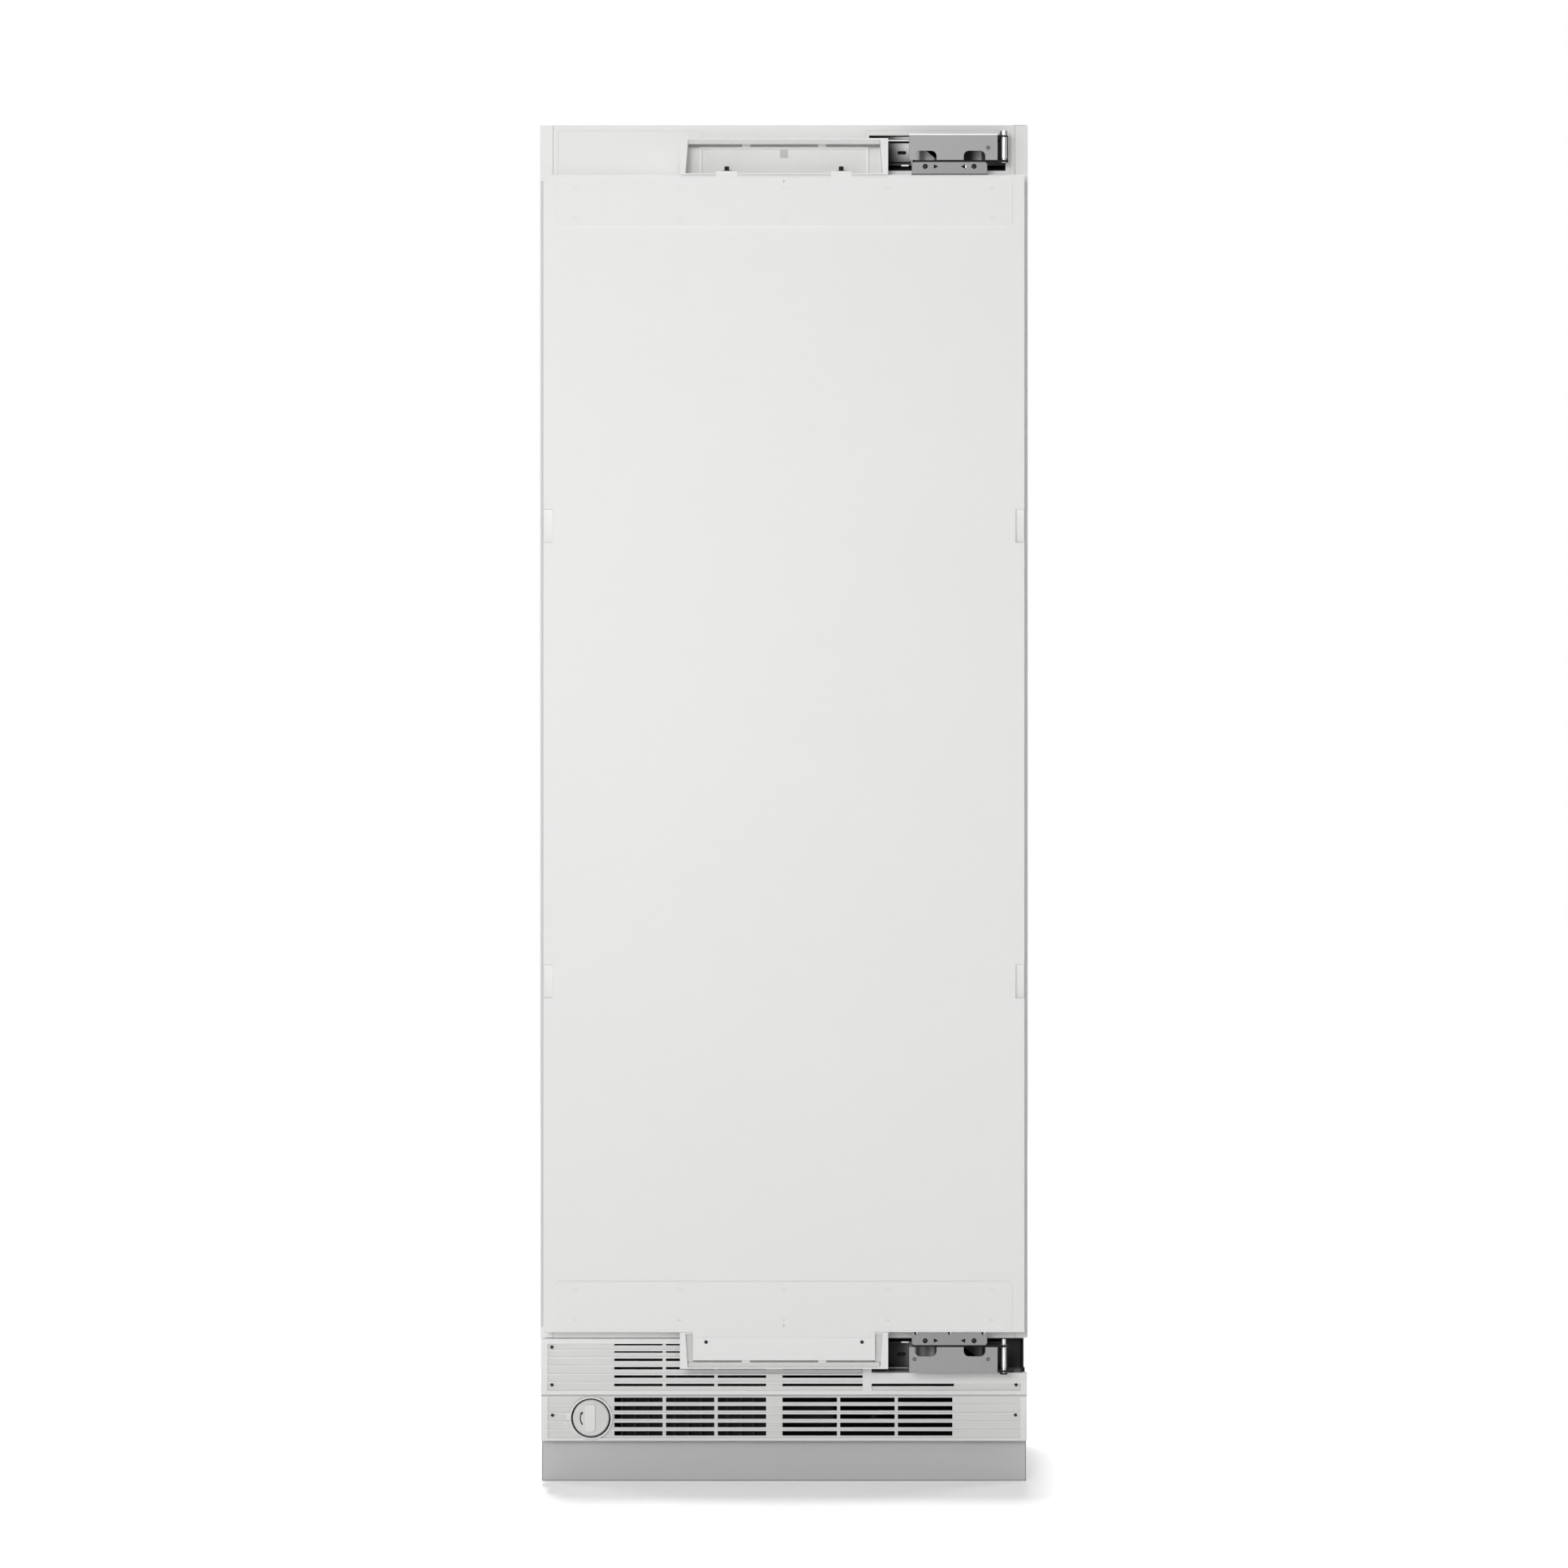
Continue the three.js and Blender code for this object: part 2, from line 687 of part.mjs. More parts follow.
function foamInsulation() {
  const skin = wrapSheet + fitGap;
  const outside = block(grow(wrapX, -skin), [wrapFrontY, backY - skin], grow(wrapZ, -skin));
  const hollow = block(
    grow(interiorX, linerSheet + fitGap),
    [wrapFrontY - overrun, interiorBackY + linerSheet + fitGap],
    grow(interiorZ, linerSheet + fitGap),
  );
  const pocketRoom = block(
    grow(upperPocketX, pocketWall + fitGap),
    [wrapFrontY - overrun, Math.max(...upperPocketY) + pocketWall + fitGap],
    grow(upperPocketZ, pocketWall + fitGap),
  );
  return cut(outside, hollow, pocketRoom);
}

const frontLayerY = from(cabinetFrontY, trimThickness);
const betweenTrims = both(halfWidth - trimWidth - fitGap);

function frontFrame() {
  const outside = block(betweenTrims, frontLayerY, [baseHeight, fasciaBottomZ - fitGap]);
  return cut(outside, block(interiorX, grow(frontLayerY, overrun), interiorZ));
}

const coverZ = from(overallHeight - hingeCoverTop - hingeCoverHeight, hingeCoverHeight);
const coverX = (side) => {
  const outer = pinX + hingeCoverPinSide;
  return [side * (outer - hingeCoverWidth), side * outer];
};

function fascia() {
  const openings = [-1, 1].map((side) =>
    sheet(roundedRect(coverX(side), coverZ, hingeCoverRadius), grow(frontLayerY, overrun)),
  );
  return cut(block(betweenTrims, frontLayerY, [fasciaBottomZ, overallHeight]), ...openings);
}

function hingeCover(side) {
  const across = grow(coverX(side), -hingeCoverSeam);
  const heights = grow(coverZ, -hingeCoverSeam);
  return sheet(roundedRect(across, heights, hingeCoverRadius - hingeCoverSeam), frontLayerY);
}

// Shelf and drawer places: each ledge is the top of a rib on the liner's side walls
const drawerBottomZ = [0, 1].map((row) => interiorBottomZ + drawerFloorGap + row * drawerPitch);
const drawerFlangeZ = drawerBottomZ.map((z) => z + drawerHeight - drawerFlange);
const crisperCoverZ = Math.max(...drawerBottomZ) + drawerHeight + crisperCoverGap;
const shelfZ = shelfShares.map((share) => interiorBottomZ + share * interiorHeight);
const ledges = [...drawerFlangeZ, crisperCoverZ, ...shelfZ].map((z) => [z - fitGap, shelfFrontY]);

piece("cabinet_wrap", cabinetWrap(), whitePaint);
piece("foam_insulation", foamInsulation(), foam);
piece("inner_liner", innerLiner(), whitePlastic);
piece("front_frame", frontFrame(), whitePaint);
for (const [name, side] of [
  ["side_trim_left", -1],
  ["side_trim_right", 1],
]) {
  piece(name, block([side * (halfWidth - trimWidth), side * halfWidth], frontLayerY, wrapZ), whitePaint);
}
piece("top_fascia", fascia(), whitePlastic);
piece("hinge_cover_blank", hingeCover(-1), whitePlastic);
piece(
  "hinge_cover_surround",
  cut(hingeCover(1), block(upperPocketX, grow(frontLayerY, overrun), upperPocketZ)),
  whitePlastic,
);

// Shelves, drawers and the crisper cover
const shelfX = both(interiorHalfWidth - fitGap);
const shelfY = [shelfFrontY, coldCoverY - fitGap];

function shelf(z) {
  const pane = block(shelfX, shelfY, from(z, shelfThickness));
  const rimX = both(interiorHalfWidth - ledge - fitGap);
  const rim = block(rimX, from(shelfFrontY, shelfRimDepth), [z + shelfThickness - shelfRim, z + embed]);
  return join(pane, rim);
}

function drawer(bottom) {
  const half = interiorHalfWidth - ledge - drawerSideGap;
  const ys = [shelfFrontY, coldCoverY - drawerRearGap];
  const top = bottom + drawerHeight;
  const tub = cut(
    block(both(half), ys, [bottom, top]),
    block(
      both(half - drawerWall),
      [ys[0] + drawerFrontThickness, ys[1] - drawerWall],
      [bottom + drawerWall, top + overrun],
    ),
  );
  const flanges = [-1, 1].map((side) => {
    const across = [side * (half - embed), side * (interiorHalfWidth - drawerSideGap / 2)];
    return block(across, ys, [top - drawerFlange, top]);
  });
  return join(tub, ...flanges);
}

piece("glass_shelf_lower", shelf(shelfZ[0]), glass);
piece("glass_shelf_middle", shelf(shelfZ[1]), glass);
piece("glass_shelf_upper", shelf(shelfZ[2]), glass);
piece("crisper_drawer_lower", drawer(drawerBottomZ[0]), clearPlastic);
piece("crisper_drawer_upper", drawer(drawerBottomZ[1]), clearPlastic);
piece("crisper_cover", block(shelfX, shelfY, from(crisperCoverZ, crisperCoverThickness)), glass);

// Fans: a hub with pitched blades and a blind seat for the motor's shaft
function fan(radius, depth, x, y, z, seatSide) {
  const hubRadius = radius * fanHubShare;
  const hub = rod("y", hubRadius, span(y, depth), x, z);
  const blades = Array.from({ length: fanBlades }, (_, i) => {
    const length = radius - hubRadius / 2;
    const blade = new THREE.BoxGeometry(depth, fanBladeThickness, length);
    blade.rotateZ(fanBladePitch).translate(0, 0, radius - length / 2);
    blade.rotateY((2 * Math.PI * i) / fanBlades).translate(x, y, z);
    return solid(blade);
  });
  const seatFace = y + (seatSide * depth) / 2;
  const seat = rod(
    "y",
    fanShaftRadius + runGap,
    [seatFace + seatSide * overrun, seatFace - seatSide * (fanShaftSeat + runGap)],
    x,
    z,
    smallSides,
  );
  return cut(join(hub, ...blades), seat);
}

// Cold side: evaporator behind its cover, with the fan in a duct ring on the cover's rear
const coldFanZ = interiorBottomZ + coldFanShare * interiorHeight;
const coldFrontY = coldCoverY + evaporatorCoverSheet;
const coldFanY = coldFrontY + ductClearance + coldFanDepth / 2;

function evaporatorCover() {
  const plateY = from(coldCoverY, evaporatorCoverSheet);
  const plate = block(both(interiorHalfWidth - fitGap), plateY, grow(interiorZ, -fitGap));
  const ringY = [coldFrontY - embed, interiorBackY - fitGap];
  const innerRadius = coldFanRadius + ductClearance;
  const ring = cut(
    rod("y", innerRadius + ductWall, ringY, 0, coldFanZ),
    rod("y", innerRadius, grow(ringY, overrun), 0, coldFanZ),
  );
  const motorY = [interiorBackY - fitGap - coldMotorDepth, interiorBackY - fitGap];
  const bar = block(both(innerRadius + ductWall / 2), grow(motorY, -embed), span(coldFanZ, ductBar));
  const motor = rod("y", coldMotorRadius, motorY, 0, coldFanZ);
  const shaftY = [coldFanY + coldFanDepth / 2 - fanShaftSeat, motorY[0] + embed];
  const shaft = rod("y", fanShaftRadius, shaftY, 0, coldFanZ, smallSides);
  const slots = Array.from({ length: airSlotCount }, (_, i) =>
    block(
      both(airSlotWidth / 2),
      grow(plateY, overrun),
      span(interiorTopZ - airSlotTop - i * airSlotPitch, airSlotHeight),
    ),
  );
  const mouth = rod("y", innerRadius - ductClearance, grow(plateY, overrun), 0, coldFanZ);
  const grid = block(both(innerRadius), plateY, span(coldFanZ, ductBar));
  return join(cut(join(plate, ring), ...slots, mouth), grid, bar, motor, shaft);
}

function evaporator() {
  const middle = interiorBottomZ + evaporatorMiddleShare * interiorHeight;
  const back = interiorBackY - fitGap;
  const coreY = [back - evaporatorDepth + evaporatorFinDepth, back];
  const core = block(both(evaporatorWidth / 2), coreY, span(middle, evaporatorHeight));
  const pitch = (evaporatorWidth - evaporatorFin) / (evaporatorFinCount - 1);
  const fins = Array.from({ length: evaporatorFinCount }, (_, i) =>
    block(
      from(-evaporatorWidth / 2 + i * pitch, evaporatorFin),
      [back - evaporatorDepth, back - evaporatorDepth + evaporatorFinDepth + embed],
      span(middle, evaporatorHeight),
    ),
  );
  return join(core, ...fins);
}

piece("evaporator_cover", evaporatorCover(), whitePlastic);
piece("evaporator", evaporator(), aluminium);
piece("evaporator_fan", fan(coldFanRadius, coldFanDepth, 0, coldFanY, coldFanZ, 1), blackPlastic);
piece(
  "control_panel",
  block(
    both(controlPanelWidth / 2),
    from(wrapFrontY + controlPanelInset, controlPanelDepth),
    [interiorTopZ - fitGap - controlPanelHeight, interiorTopZ - fitGap],
  ),
  blackPlastic,
);

// Door: outer panel with its side notches, foam, liner with its dike, and the gasket
const doorX = both(doorHalfWidth);
const doorZ = [doorBottomZ, doorTopZ];
const linerFrontY = doorRearY - doorLinerSheet;
const notches = [-1, 1].flatMap((side) =>
  [-1, 1].map((row) => ({
    x: [side * (doorHalfWidth - notchWidth), side * (doorHalfWidth + overrun)],
    z: span(doorMiddleZ + row * notchOffset, notchHeight),
  })),
);

function notchRoom(notch, wall) {
  const [inner, outer] = notch.x;
  const across = [inner - Math.sign(inner) * wall, outer];
  return block(across, [doorFrontY - overrun, doorFrontY + notchDepth + wall], grow(notch.z, wall));
}

// A clearance hole through the door's top for each adjuster's spindle
function spindleHoles(extra) {
  return [-1, 1].map((side) =>
    rod(
      "z",
      adjusterRadius + extra,
      [doorTopZ - adjusterDepth - extra, doorTopZ + trayHeight],
      side * adjusterX,
      doorFrontY + adjusterInset,
      smallSides,
    ),
  );
}

function doorOuterPanel() {
  const outside = block(doorX, [doorFrontY, linerFrontY - fitGap], doorZ);
  const insideY = [doorFrontY + doorSheet, linerFrontY + overrun];
  const inside = block(grow(doorX, -doorSheet), insideY, grow(doorZ, -doorSheet));
  const lined = notches.map((notch) => notchRoom(notch, doorSheet).intersect(outside));
  const rooms = notches.map((notch) => notchRoom(notch, 0));
  return cut(join(cut(outside, inside), ...lined), ...rooms, ...spindleHoles(runGap));
}

const dikeX = both(interiorHalfWidth - dikeClearance);
const dikeZ = grow(interiorZ, -dikeEndClearance);

// The ring between two rectangles, over a range of Y
function ring(xs, zs, width, ys) {
  return cut(block(xs, ys, zs), block(grow(xs, -width), grow(ys, overrun), grow(zs, -width)));
}

function doorFoam() {
  const skin = doorSheet + fitGap;
  const slab = block(grow(doorX, -skin), [doorFrontY + skin, linerFrontY - fitGap], grow(doorZ, -skin));
  const wall = doorLinerSheet + fitGap;
  const ridgeY = [linerFrontY - fitGap - embed, doorRearY + dikeDepth - wall];
  const ridge = ring(grow(dikeX, -wall), grow(dikeZ, -wall), dikeWidth - 2 * wall, ridgeY);
  const rooms = notches.map((notch) => notchRoom(notch, skin));
  return cut(join(slab, ridge), ...rooms, ...spindleHoles(2 * runGap));
}

const binZ = binHeightShares.map((share) => interiorBottomZ + share * interiorHeight);
const binX = grow(dikeX, -dikeWidth - binGap);

function doorLiner() {
  const flange = block(doorX, [linerFrontY, doorRearY], doorZ);
  const dike = ring(dikeX, dikeZ, dikeWidth, [doorRearY - embed, doorRearY + dikeDepth]);
  const hollowY = [linerFrontY - overrun, doorRearY + dikeDepth - doorLinerSheet];
  const hollow = ring(
    grow(dikeX, -doorLinerSheet),
    grow(dikeZ, -doorLinerSheet),
    dikeWidth - 2 * doorLinerSheet,
    hollowY,
  );
  const inner = Math.max(...dikeX) - dikeWidth;
  const lugY = [doorRearY - embed, doorRearY + dikeDepth];
  const lugs = binZ.flatMap((z) =>
    [-1, 1].map((side) => {
      const across = [side * (inner - binLug), side * (inner + embed)];
      return block(across, lugY, [z - fitGap - binLug, z - fitGap]);
    }),
  );
  return join(cut(join(flange, dike), hollow), ...lugs);
}

function doorBin(z) {
  const ys = from(doorRearY + fitGap, binDepth);
  return cut(
    block(binX, ys, from(z, binHeight)),
    block(grow(binX, -binWall), grow(ys, -binWall), [z + binWall, z + binHeight + overrun]),
  );
}

function gasket() {
  const xs = grow(interiorX, gasketOutset);
  return ring(xs, grow(interiorZ, gasketOutset), gasketWidth, from(doorRearY + fitGap, gasketThickness));
}

piece("door_outer_panel", doorOuterPanel(), whitePaint);
piece("door_foam", doorFoam(), foam);
piece("door_liner", doorLiner(), whitePlastic);
piece("door_gasket", gasket(), rubber);
piece("door_bin_lower", doorBin(binZ[0]), clearPlastic);
piece("door_bin_middle", doorBin(binZ[1]), clearPlastic);
piece("door_bin_upper", doorBin(binZ[2]), clearPlastic);

// Mounting plates: a rounded sheet with two rows of slots, and what each one adds at its middle
const plateY = [doorFrontY - fitGap - mountingPlateThickness, doorFrontY - fitGap];

function mountingPlate(up, added) {
  const across = both(doorHalfWidth - mountingPlateInset);
  const heights = up(-mountingPlateEdge - mountingPlateHeight, -mountingPlateEdge);
  const plate = sheet(roundedRect(across, heights, mountingPlateRadius), plateY);
  const slots = [slotNear, slotNear + slotRowPitch].flatMap((row) =>
    Array.from({ length: slotColumns }, (_, i) => {
      const x = (i - (slotColumns - 1) / 2) * slotPitch;
      const slotZ = grow(up(-row, -row), slotHeight / 2);
      const radius = (slotHeight - embed) / 2;
      return sheet(roundedRect(span(x, slotLength), slotZ, radius), grow(plateY, overrun), slotSteps);
    }),
  );
  return cut(join(plate, ...added), ...slots);
}

// The lower plate's middle part runs down to the cover plate
function middlePart(up) {
  return [block(both(coverHalfWidth), plateY, up(-mountingPlateEdge - embed, coverStart - fitGap))];
}

// The upper plate's two tabs fold back over the door's top, under the adjusters' washers
function adjusterTabs(up) {
  return [-1, 1].flatMap((side) => {
    const across = span(side * adjusterX, tabWidth);
    return [
      block(across, plateY, up(-mountingPlateEdge - embed, tabHeight)),
      block(across, [plateY[0], doorFrontY + tabDepth], up(tabHeight - mountingPlateThickness, tabHeight)),
    ];
  });
}

function adjuster(side) {
  const x = side * adjusterX;
  const y = doorFrontY + adjusterInset;
  const seat = doorTopZ + tabHeight + fitGap;
  return join(
    rod("z", adjusterRadius, [doorTopZ - adjusterDepth, seat + embed], x, y, smallSides),
    rod("z", adjusterWasherRadius, from(seat, adjusterWasher), x, y, smallSides),
    rod("z", adjusterHexRadius, [seat + embed, seat + adjusterWasher + adjusterHexHeight], x, y, hexSides),
  );
}

// Ribbed tray at a door end: lip, side walls that thicken towards it, back with a raised ridge
function panelTray(direction) {
  const up = hingeEnd(direction);
  const ys = [doorFrontY, doorRearY - traySetback];
  const lip = block(both(trayHalfWidth), ys, up(trayHeight - trayLip, trayHeight));
  const floor = block(both(trayHalfWidth), ys, up(fitGap, fitGap + trayLip));
  const walls = [-1, 1].map((side) => {
    const [low, high] = up(fitGap, trayHeight);
    const outer = side * trayHalfWidth;
    const shape = new THREE.Shape([
      new THREE.Vector2(outer, low),
      new THREE.Vector2(outer - side * trayWallRoot, low),
      new THREE.Vector2(outer - side * trayWallTip, high),
      new THREE.Vector2(outer, high),
    ]);
    return sheet(shape, ys);
  });
  const backEnd = trayHeight - trayLip - trayVent;
  const inner = trayHalfWidth - trayWallRoot / 2;
  const back = block(both(inner), [ys[1] - trayBack, ys[1]], up(fitGap, backEnd));
  const tieY = [ys[1] - trayBack - trayRidgeReach, ys[1]];
  const ties = [-1, 1].map((side) =>
    block([side * trayTieInner, side * trayTieOuter], tieY, up(backEnd - embed, trayHeight - embed)),
  );
  const ridgeY = [ys[1] - trayBack - trayRidgeReach, ys[1] - embed];
  const ridge = cut(
    block(both(trayRidgeHalfWidth), ridgeY, up(fitGap, backEnd)),
    block(both(trayRidgeHalfWidth - trayRidge), grow(ridgeY, overrun), up(-overrun, backEnd - trayRidge)),
  );
  const ribCount = 2 * Math.floor((trayHalfWidth - trayWallTip) / trayRibPitch) + 1;
  const ribs = Array.from({ length: ribCount }, (_, i) =>
    block(
      span((i - (ribCount - 1) / 2) * trayRibPitch, trayRib),
      grow(ys, -embed),
      up(trayHeight - trayLip - trayRib, trayHeight - trayLip + embed),
    ),
  );
  return join(lip, floor, ...walls, back, ...ties, ridge, ...ribs);
}

function trayCover(up) {
  const plate = block(both(coverHalfWidth), from(doorFrontY, coverThickness), up(coverStart, coverEnd));
  const [bossZ] = up(coverScrewHeight, coverScrewHeight);
  const bosses = [-1, 1].map((side) =>
    rod(
      "y",
      coverBossRadius,
      [doorFrontY + coverThickness - embed, doorRearY - traySetback - embed],
      side * coverScrewX,
      bossZ,
      smallSides,
    ),
  );
  return [plate, ...bosses];
}

piece(
  "mounting_plate_upper",
  cut(mountingPlate(upperUp, adjusterTabs(upperUp)), ...spindleHoles(runGap)),
  whitePaint,
);
piece("mounting_plate_lower", mountingPlate(lowerUp, middlePart(lowerUp)), whitePaint);
piece("panel_tray_upper", cut(panelTray(1), ...spindleHoles(2 * runGap)), whitePlastic);
piece("panel_tray_lower", join(panelTray(-1), ...trayCover(lowerUp)), whitePlastic);
piece("panel_adjuster_left", adjuster(-1), blackPaint);
piece("panel_adjuster_right", adjuster(1), blackPaint);

// Grilles: a plate with a recessed field, bars flush with the front, and slots through the field's floor
function fieldRows(top, rows, fineRows, slot, fineSlot) {
  let z = top;
  return Array.from({ length: rows }, (_, i) => {
    const fine = i < fineRows;
    const high = z;
    const pitch = fine ? grilleFinePitch : grillePitch;
    z -= pitch;
    return { gap: [high - pitch + grilleBar, high], slot: [high - (fine ? fineSlot : slot), high] };
  });
}

const leftWindowX = Array.from({ length: leftWindows }, (_, i) =>
  from(-grilleMiddleLeft - windowWidth - i * windowPitch, windowWidth),
);
const grilleX = both(halfWidth - grilleInset);
const grilleSides = [grilleX[0], grilleX[1]].map((x) => [x, x - Math.sign(x) * grilleReturn]);

// Cuts the recess and the slots of one row of a grille
function rowCuts(row, front, fieldX, windows) {
  return [
    block(fieldX, [front - overrun, front + grilleFieldDepth], row.gap),
    ...windows.map((xs) => block(xs, [front - overrun, front + grilleThickness + overrun], row.slot)),
  ];
}

function upperGrille() {
  const front = cabinetFrontY;
  const plateYs = from(front, grilleThickness);
  const plate = block(grilleX, plateYs, [upperGrilleBottom, upperGrilleTop]);
  const hingeNotch = block([notchPostX, halfWidth + overrun], grow(plateYs, overrun), [
    notchHeightZ,
    upperGrilleTop + overrun,
  ]);
  const rows = fieldRows(upperFieldTop, upperRows, upperFineRows, upperSlot, upperFineSlot);
  const fieldX = [grilleX[0] + upperFieldSide, notchPostX - notchPostWidth];
  const windows = [...leftWindowX, [-grilleMiddleRight, notchPostX - notchPostWidth]];
  const cuts = rows.flatMap((row) => rowCuts(row, front, fieldX, windows));
  const last = rows[rows.length - 1];
  const rightSlot = from(notchPostX, rightSlotWidth);
  const rightField = rowCuts(last, front, [notchPostX, grilleX[1] - upperFieldSide], [rightSlot]);
  const ledgeX = [notchPostX, baseHalfWidth - baseSheet - fitGap];
  const ledgeY = [front + embed, front + notchLedgeDepth];
  const ledgeBlock = block(ledgeX, ledgeY, [notchHeightZ - notchLedge, notchHeightZ]);
  const returns = grilleSides.map((xs) =>
    block(xs, [front + embed, baseFrontY - fitGap], [upperGrilleBottom, notchHeightZ]),
  );
  return join(cut(plate, hingeNotch, ...cuts, ...rightField), ledgeBlock, ...returns);
}

function lowerGrille() {
  const front = lowerGrilleY;
  const plateYs = from(front, grilleThickness);
  const plate = block(grilleX, plateYs, [lowerGrilleBottom, lowerGrilleTop]);
  const rows = fieldRows(lowerFieldTop, lowerRows, 0, lowerSlot, lowerSlot);
  const rightX = Array.from({ length: rightWindows }, (_, i) =>
    from(-grilleMiddleRight + i * rightWindowPitch, rightWindowWidth),
  );
  const fieldX = grow(grilleX, -upperFieldSide);
  const cuts = rows.flatMap((row) => rowCuts(row, front, fieldX, [...leftWindowX, ...rightX]));
  const collarHole = rod("y", filterCollarRadius + fitGap, grow(plateYs, overrun), filterX, filterZ);
  return cut(plate, ...cuts, collarHole);
}

piece("upper_grille", upperGrille(), whitePlastic);
piece("lower_grille", lowerGrille(), whitePlastic);
piece("toe_kick", block(grilleX, from(toeY, toeThickness), [toeLift, toeHeight]), toePaint);

// Base frame: bottom sheet and two sides, with the rollers' ears under it
const rollerX = halfWidth - footInset;
const rollerY = backY - rollerRearInset;

function baseFrame() {
  const rear = backY - baseRearInset - rearCoverSheet - fitGap;
  const floorFront = toeY + toeThickness + fitGap;
  const top = baseHeight - fitGap;
  const bottom = block(both(baseHalfWidth), [floorFront, rear], [panHeight, panTopZ]);
  const sides = [-1, 1].map((side) => {
    const xs = [side * (baseHalfWidth - baseSheet), side * baseHalfWidth];
    const points = [
      [floorFront, panHeight],
      [rear, panHeight],
      [rear, top],
      [baseFrontY, top],
      [baseFrontY, toeHeight + fitGap],
      [floorFront, toeHeight + fitGap],
    ];
    return profile(points, xs);
  });
  const pocketRoom = block(
    [baseHalfWidth - baseSheet - overrun, baseHalfWidth + overrun],
    [baseFrontY - overrun, cabinetFrontY + notchLedgeDepth + fitGap],
    [notchHeightZ - notchLedge - fitGap, top + overrun],
  );
  const ears = [-1, 1].flatMap((side) =>
    [-1, 1].map((part) => {
      const inner = side * rollerX + part * (rollerWidth / 2 + runGap);
      const across = [inner, inner + part * rollerEar];
      const heights = [rollerRadius - rollerEarDepth / 2, panHeight + embed];
      const ear = block(across, span(rollerY, rollerEarDepth), heights);
      const holeRadius = rollerAxleRadius + runGap;
      const hole = rod("x", holeRadius, grow(across, overrun), rollerY, rollerRadius, smallSides);
      return ear.subtract(hole);
    }),
  );
  return join(cut(join(bottom, ...sides), pocketRoom), ...ears);
}

function rearCover() {
  const ys = from(backY - baseRearInset - rearCoverSheet, rearCoverSheet);
  const plate = block(both(baseHalfWidth), ys, [panTopZ, baseHeight - fitGap]);
  const slots = [-1, 0, 1].flatMap((column) =>
    Array.from({ length: rearSlotRows }, (_, i) =>
      block(
        span(column * (rearSlotWidth + rearSlotPitch), rearSlotWidth),
        grow(ys, overrun),
        span(panTopZ + (i + 1) * rearSlotPitch + rearSlotHeight, rearSlotHeight),
      ),
    ),
  );
  const inlet = block(grow(inletX, fitGap), grow(ys, overrun), grow(inletZ, fitGap));
  return cut(plate, ...slots, inlet);
}

const inletX = span(-baseHalfWidth + inletInset, inletWidth);
const inletZ = span((panTopZ + baseHeight) / 2, inletHeight);

function powerInlet() {
  const rear = backY - baseRearInset;
  const body = block(inletX, [rear - inletDepth, rear + fitGap + embed], inletZ);
  const recessY = [rear - inletDepth + inletWall, rear + baseRearInset + overrun];
  const recess = block(grow(inletX, -inletWall), recessY, grow(inletZ, -inletWall));
  const rim = block(grow(inletX, inletWall), [rear + fitGap, rear + baseRearInset], grow(inletZ, inletWall));
  return cut(join(body, rim), recess);
}

piece("base_frame", baseFrame(), darkSteel);
piece("rear_cover", rearCover(), darkSteel);
piece("power_inlet", powerInlet(), blackPlastic);

// Filter: housing through the lower grille, cartridge that slides out, cap that turns on it
const collarFrontY = lowerGrilleY - filterCollarReach;

function filterHousing() {
  const length = [collarFrontY, collarFrontY + filterHousingLength];
  const tube = rod("y", filterCollarRadius, length, filterX, filterZ);
  const bore = rod("y", filterBoreRadius, [length[0] - overrun, length[1] - filterEndWall], filterX, filterZ);
  const saddleY = from(length[1] - filterSaddleWidth - filterEndWall, filterSaddleWidth);
  const saddle = block(span(filterX, filterSaddleWidth), saddleY, [panTopZ + fitGap, filterZ]);
  return cut(join(tube, saddle), bore);
}

const capFrontY = collarFrontY;
const cartridgeY = from(capFrontY + capThickness + fitGap, cartridgeLength);

function filterCap() {
  const disc = rod("y", capRadius, from(capFrontY, capThickness), filterX, filterZ);
  const gripX = span(filterX - capGripOffset, capGripWidth);
  const gripZ = span(filterZ - capGripOffset, capGripHeight);
  const gripY = [capFrontY - capGripReach, capFrontY + embed];
  return join(disc, sheet(roundedRect(gripX, gripZ, capGripRadius), gripY));
}

// The cartridge's front carries a seal ring that runs in the housing's bore
function filterCartridge() {
  const body = rod("y", cartridgeRadius, cartridgeY, filterX, filterZ);
  const seal = rod("y", filterBoreRadius - fitGap, from(cartridgeY[0], cartridgeSeal), filterX, filterZ);
  return join(body, seal);
}

piece("filter_housing", filterHousing(), whitePlastic);
piece("filter_cartridge", filterCartridge(), whitePlastic);
piece("filter_cap", filterCap(), whitePlastic);

// Machine compartment
const condenserY = baseFrontY + condenserSetback;
const shroudY = condenserY + condenserDepth + shroudGap;
const hotFanY = shroudY + shroudRim - ductWall - ductClearance / 2 - hotFanDepth / 2;

function condenser() {
  const zs = from(floorZ, condenserHeight);
  const coreY = [condenserY + condenserFinDepth, condenserY + condenserDepth];
  const core = block(span(condenserX, condenserWidth), coreY, zs);
  const pitch = (condenserWidth - condenserFin) / (condenserFinCount - 1);
  const fins = Array.from({ length: condenserFinCount }, (_, i) =>
    block(
      from(condenserX - condenserWidth / 2 + i * pitch, condenserFin),
      [condenserY, condenserY + condenserFinDepth + embed],
      zs,
    ),
  );
  return join(core, ...fins);
}

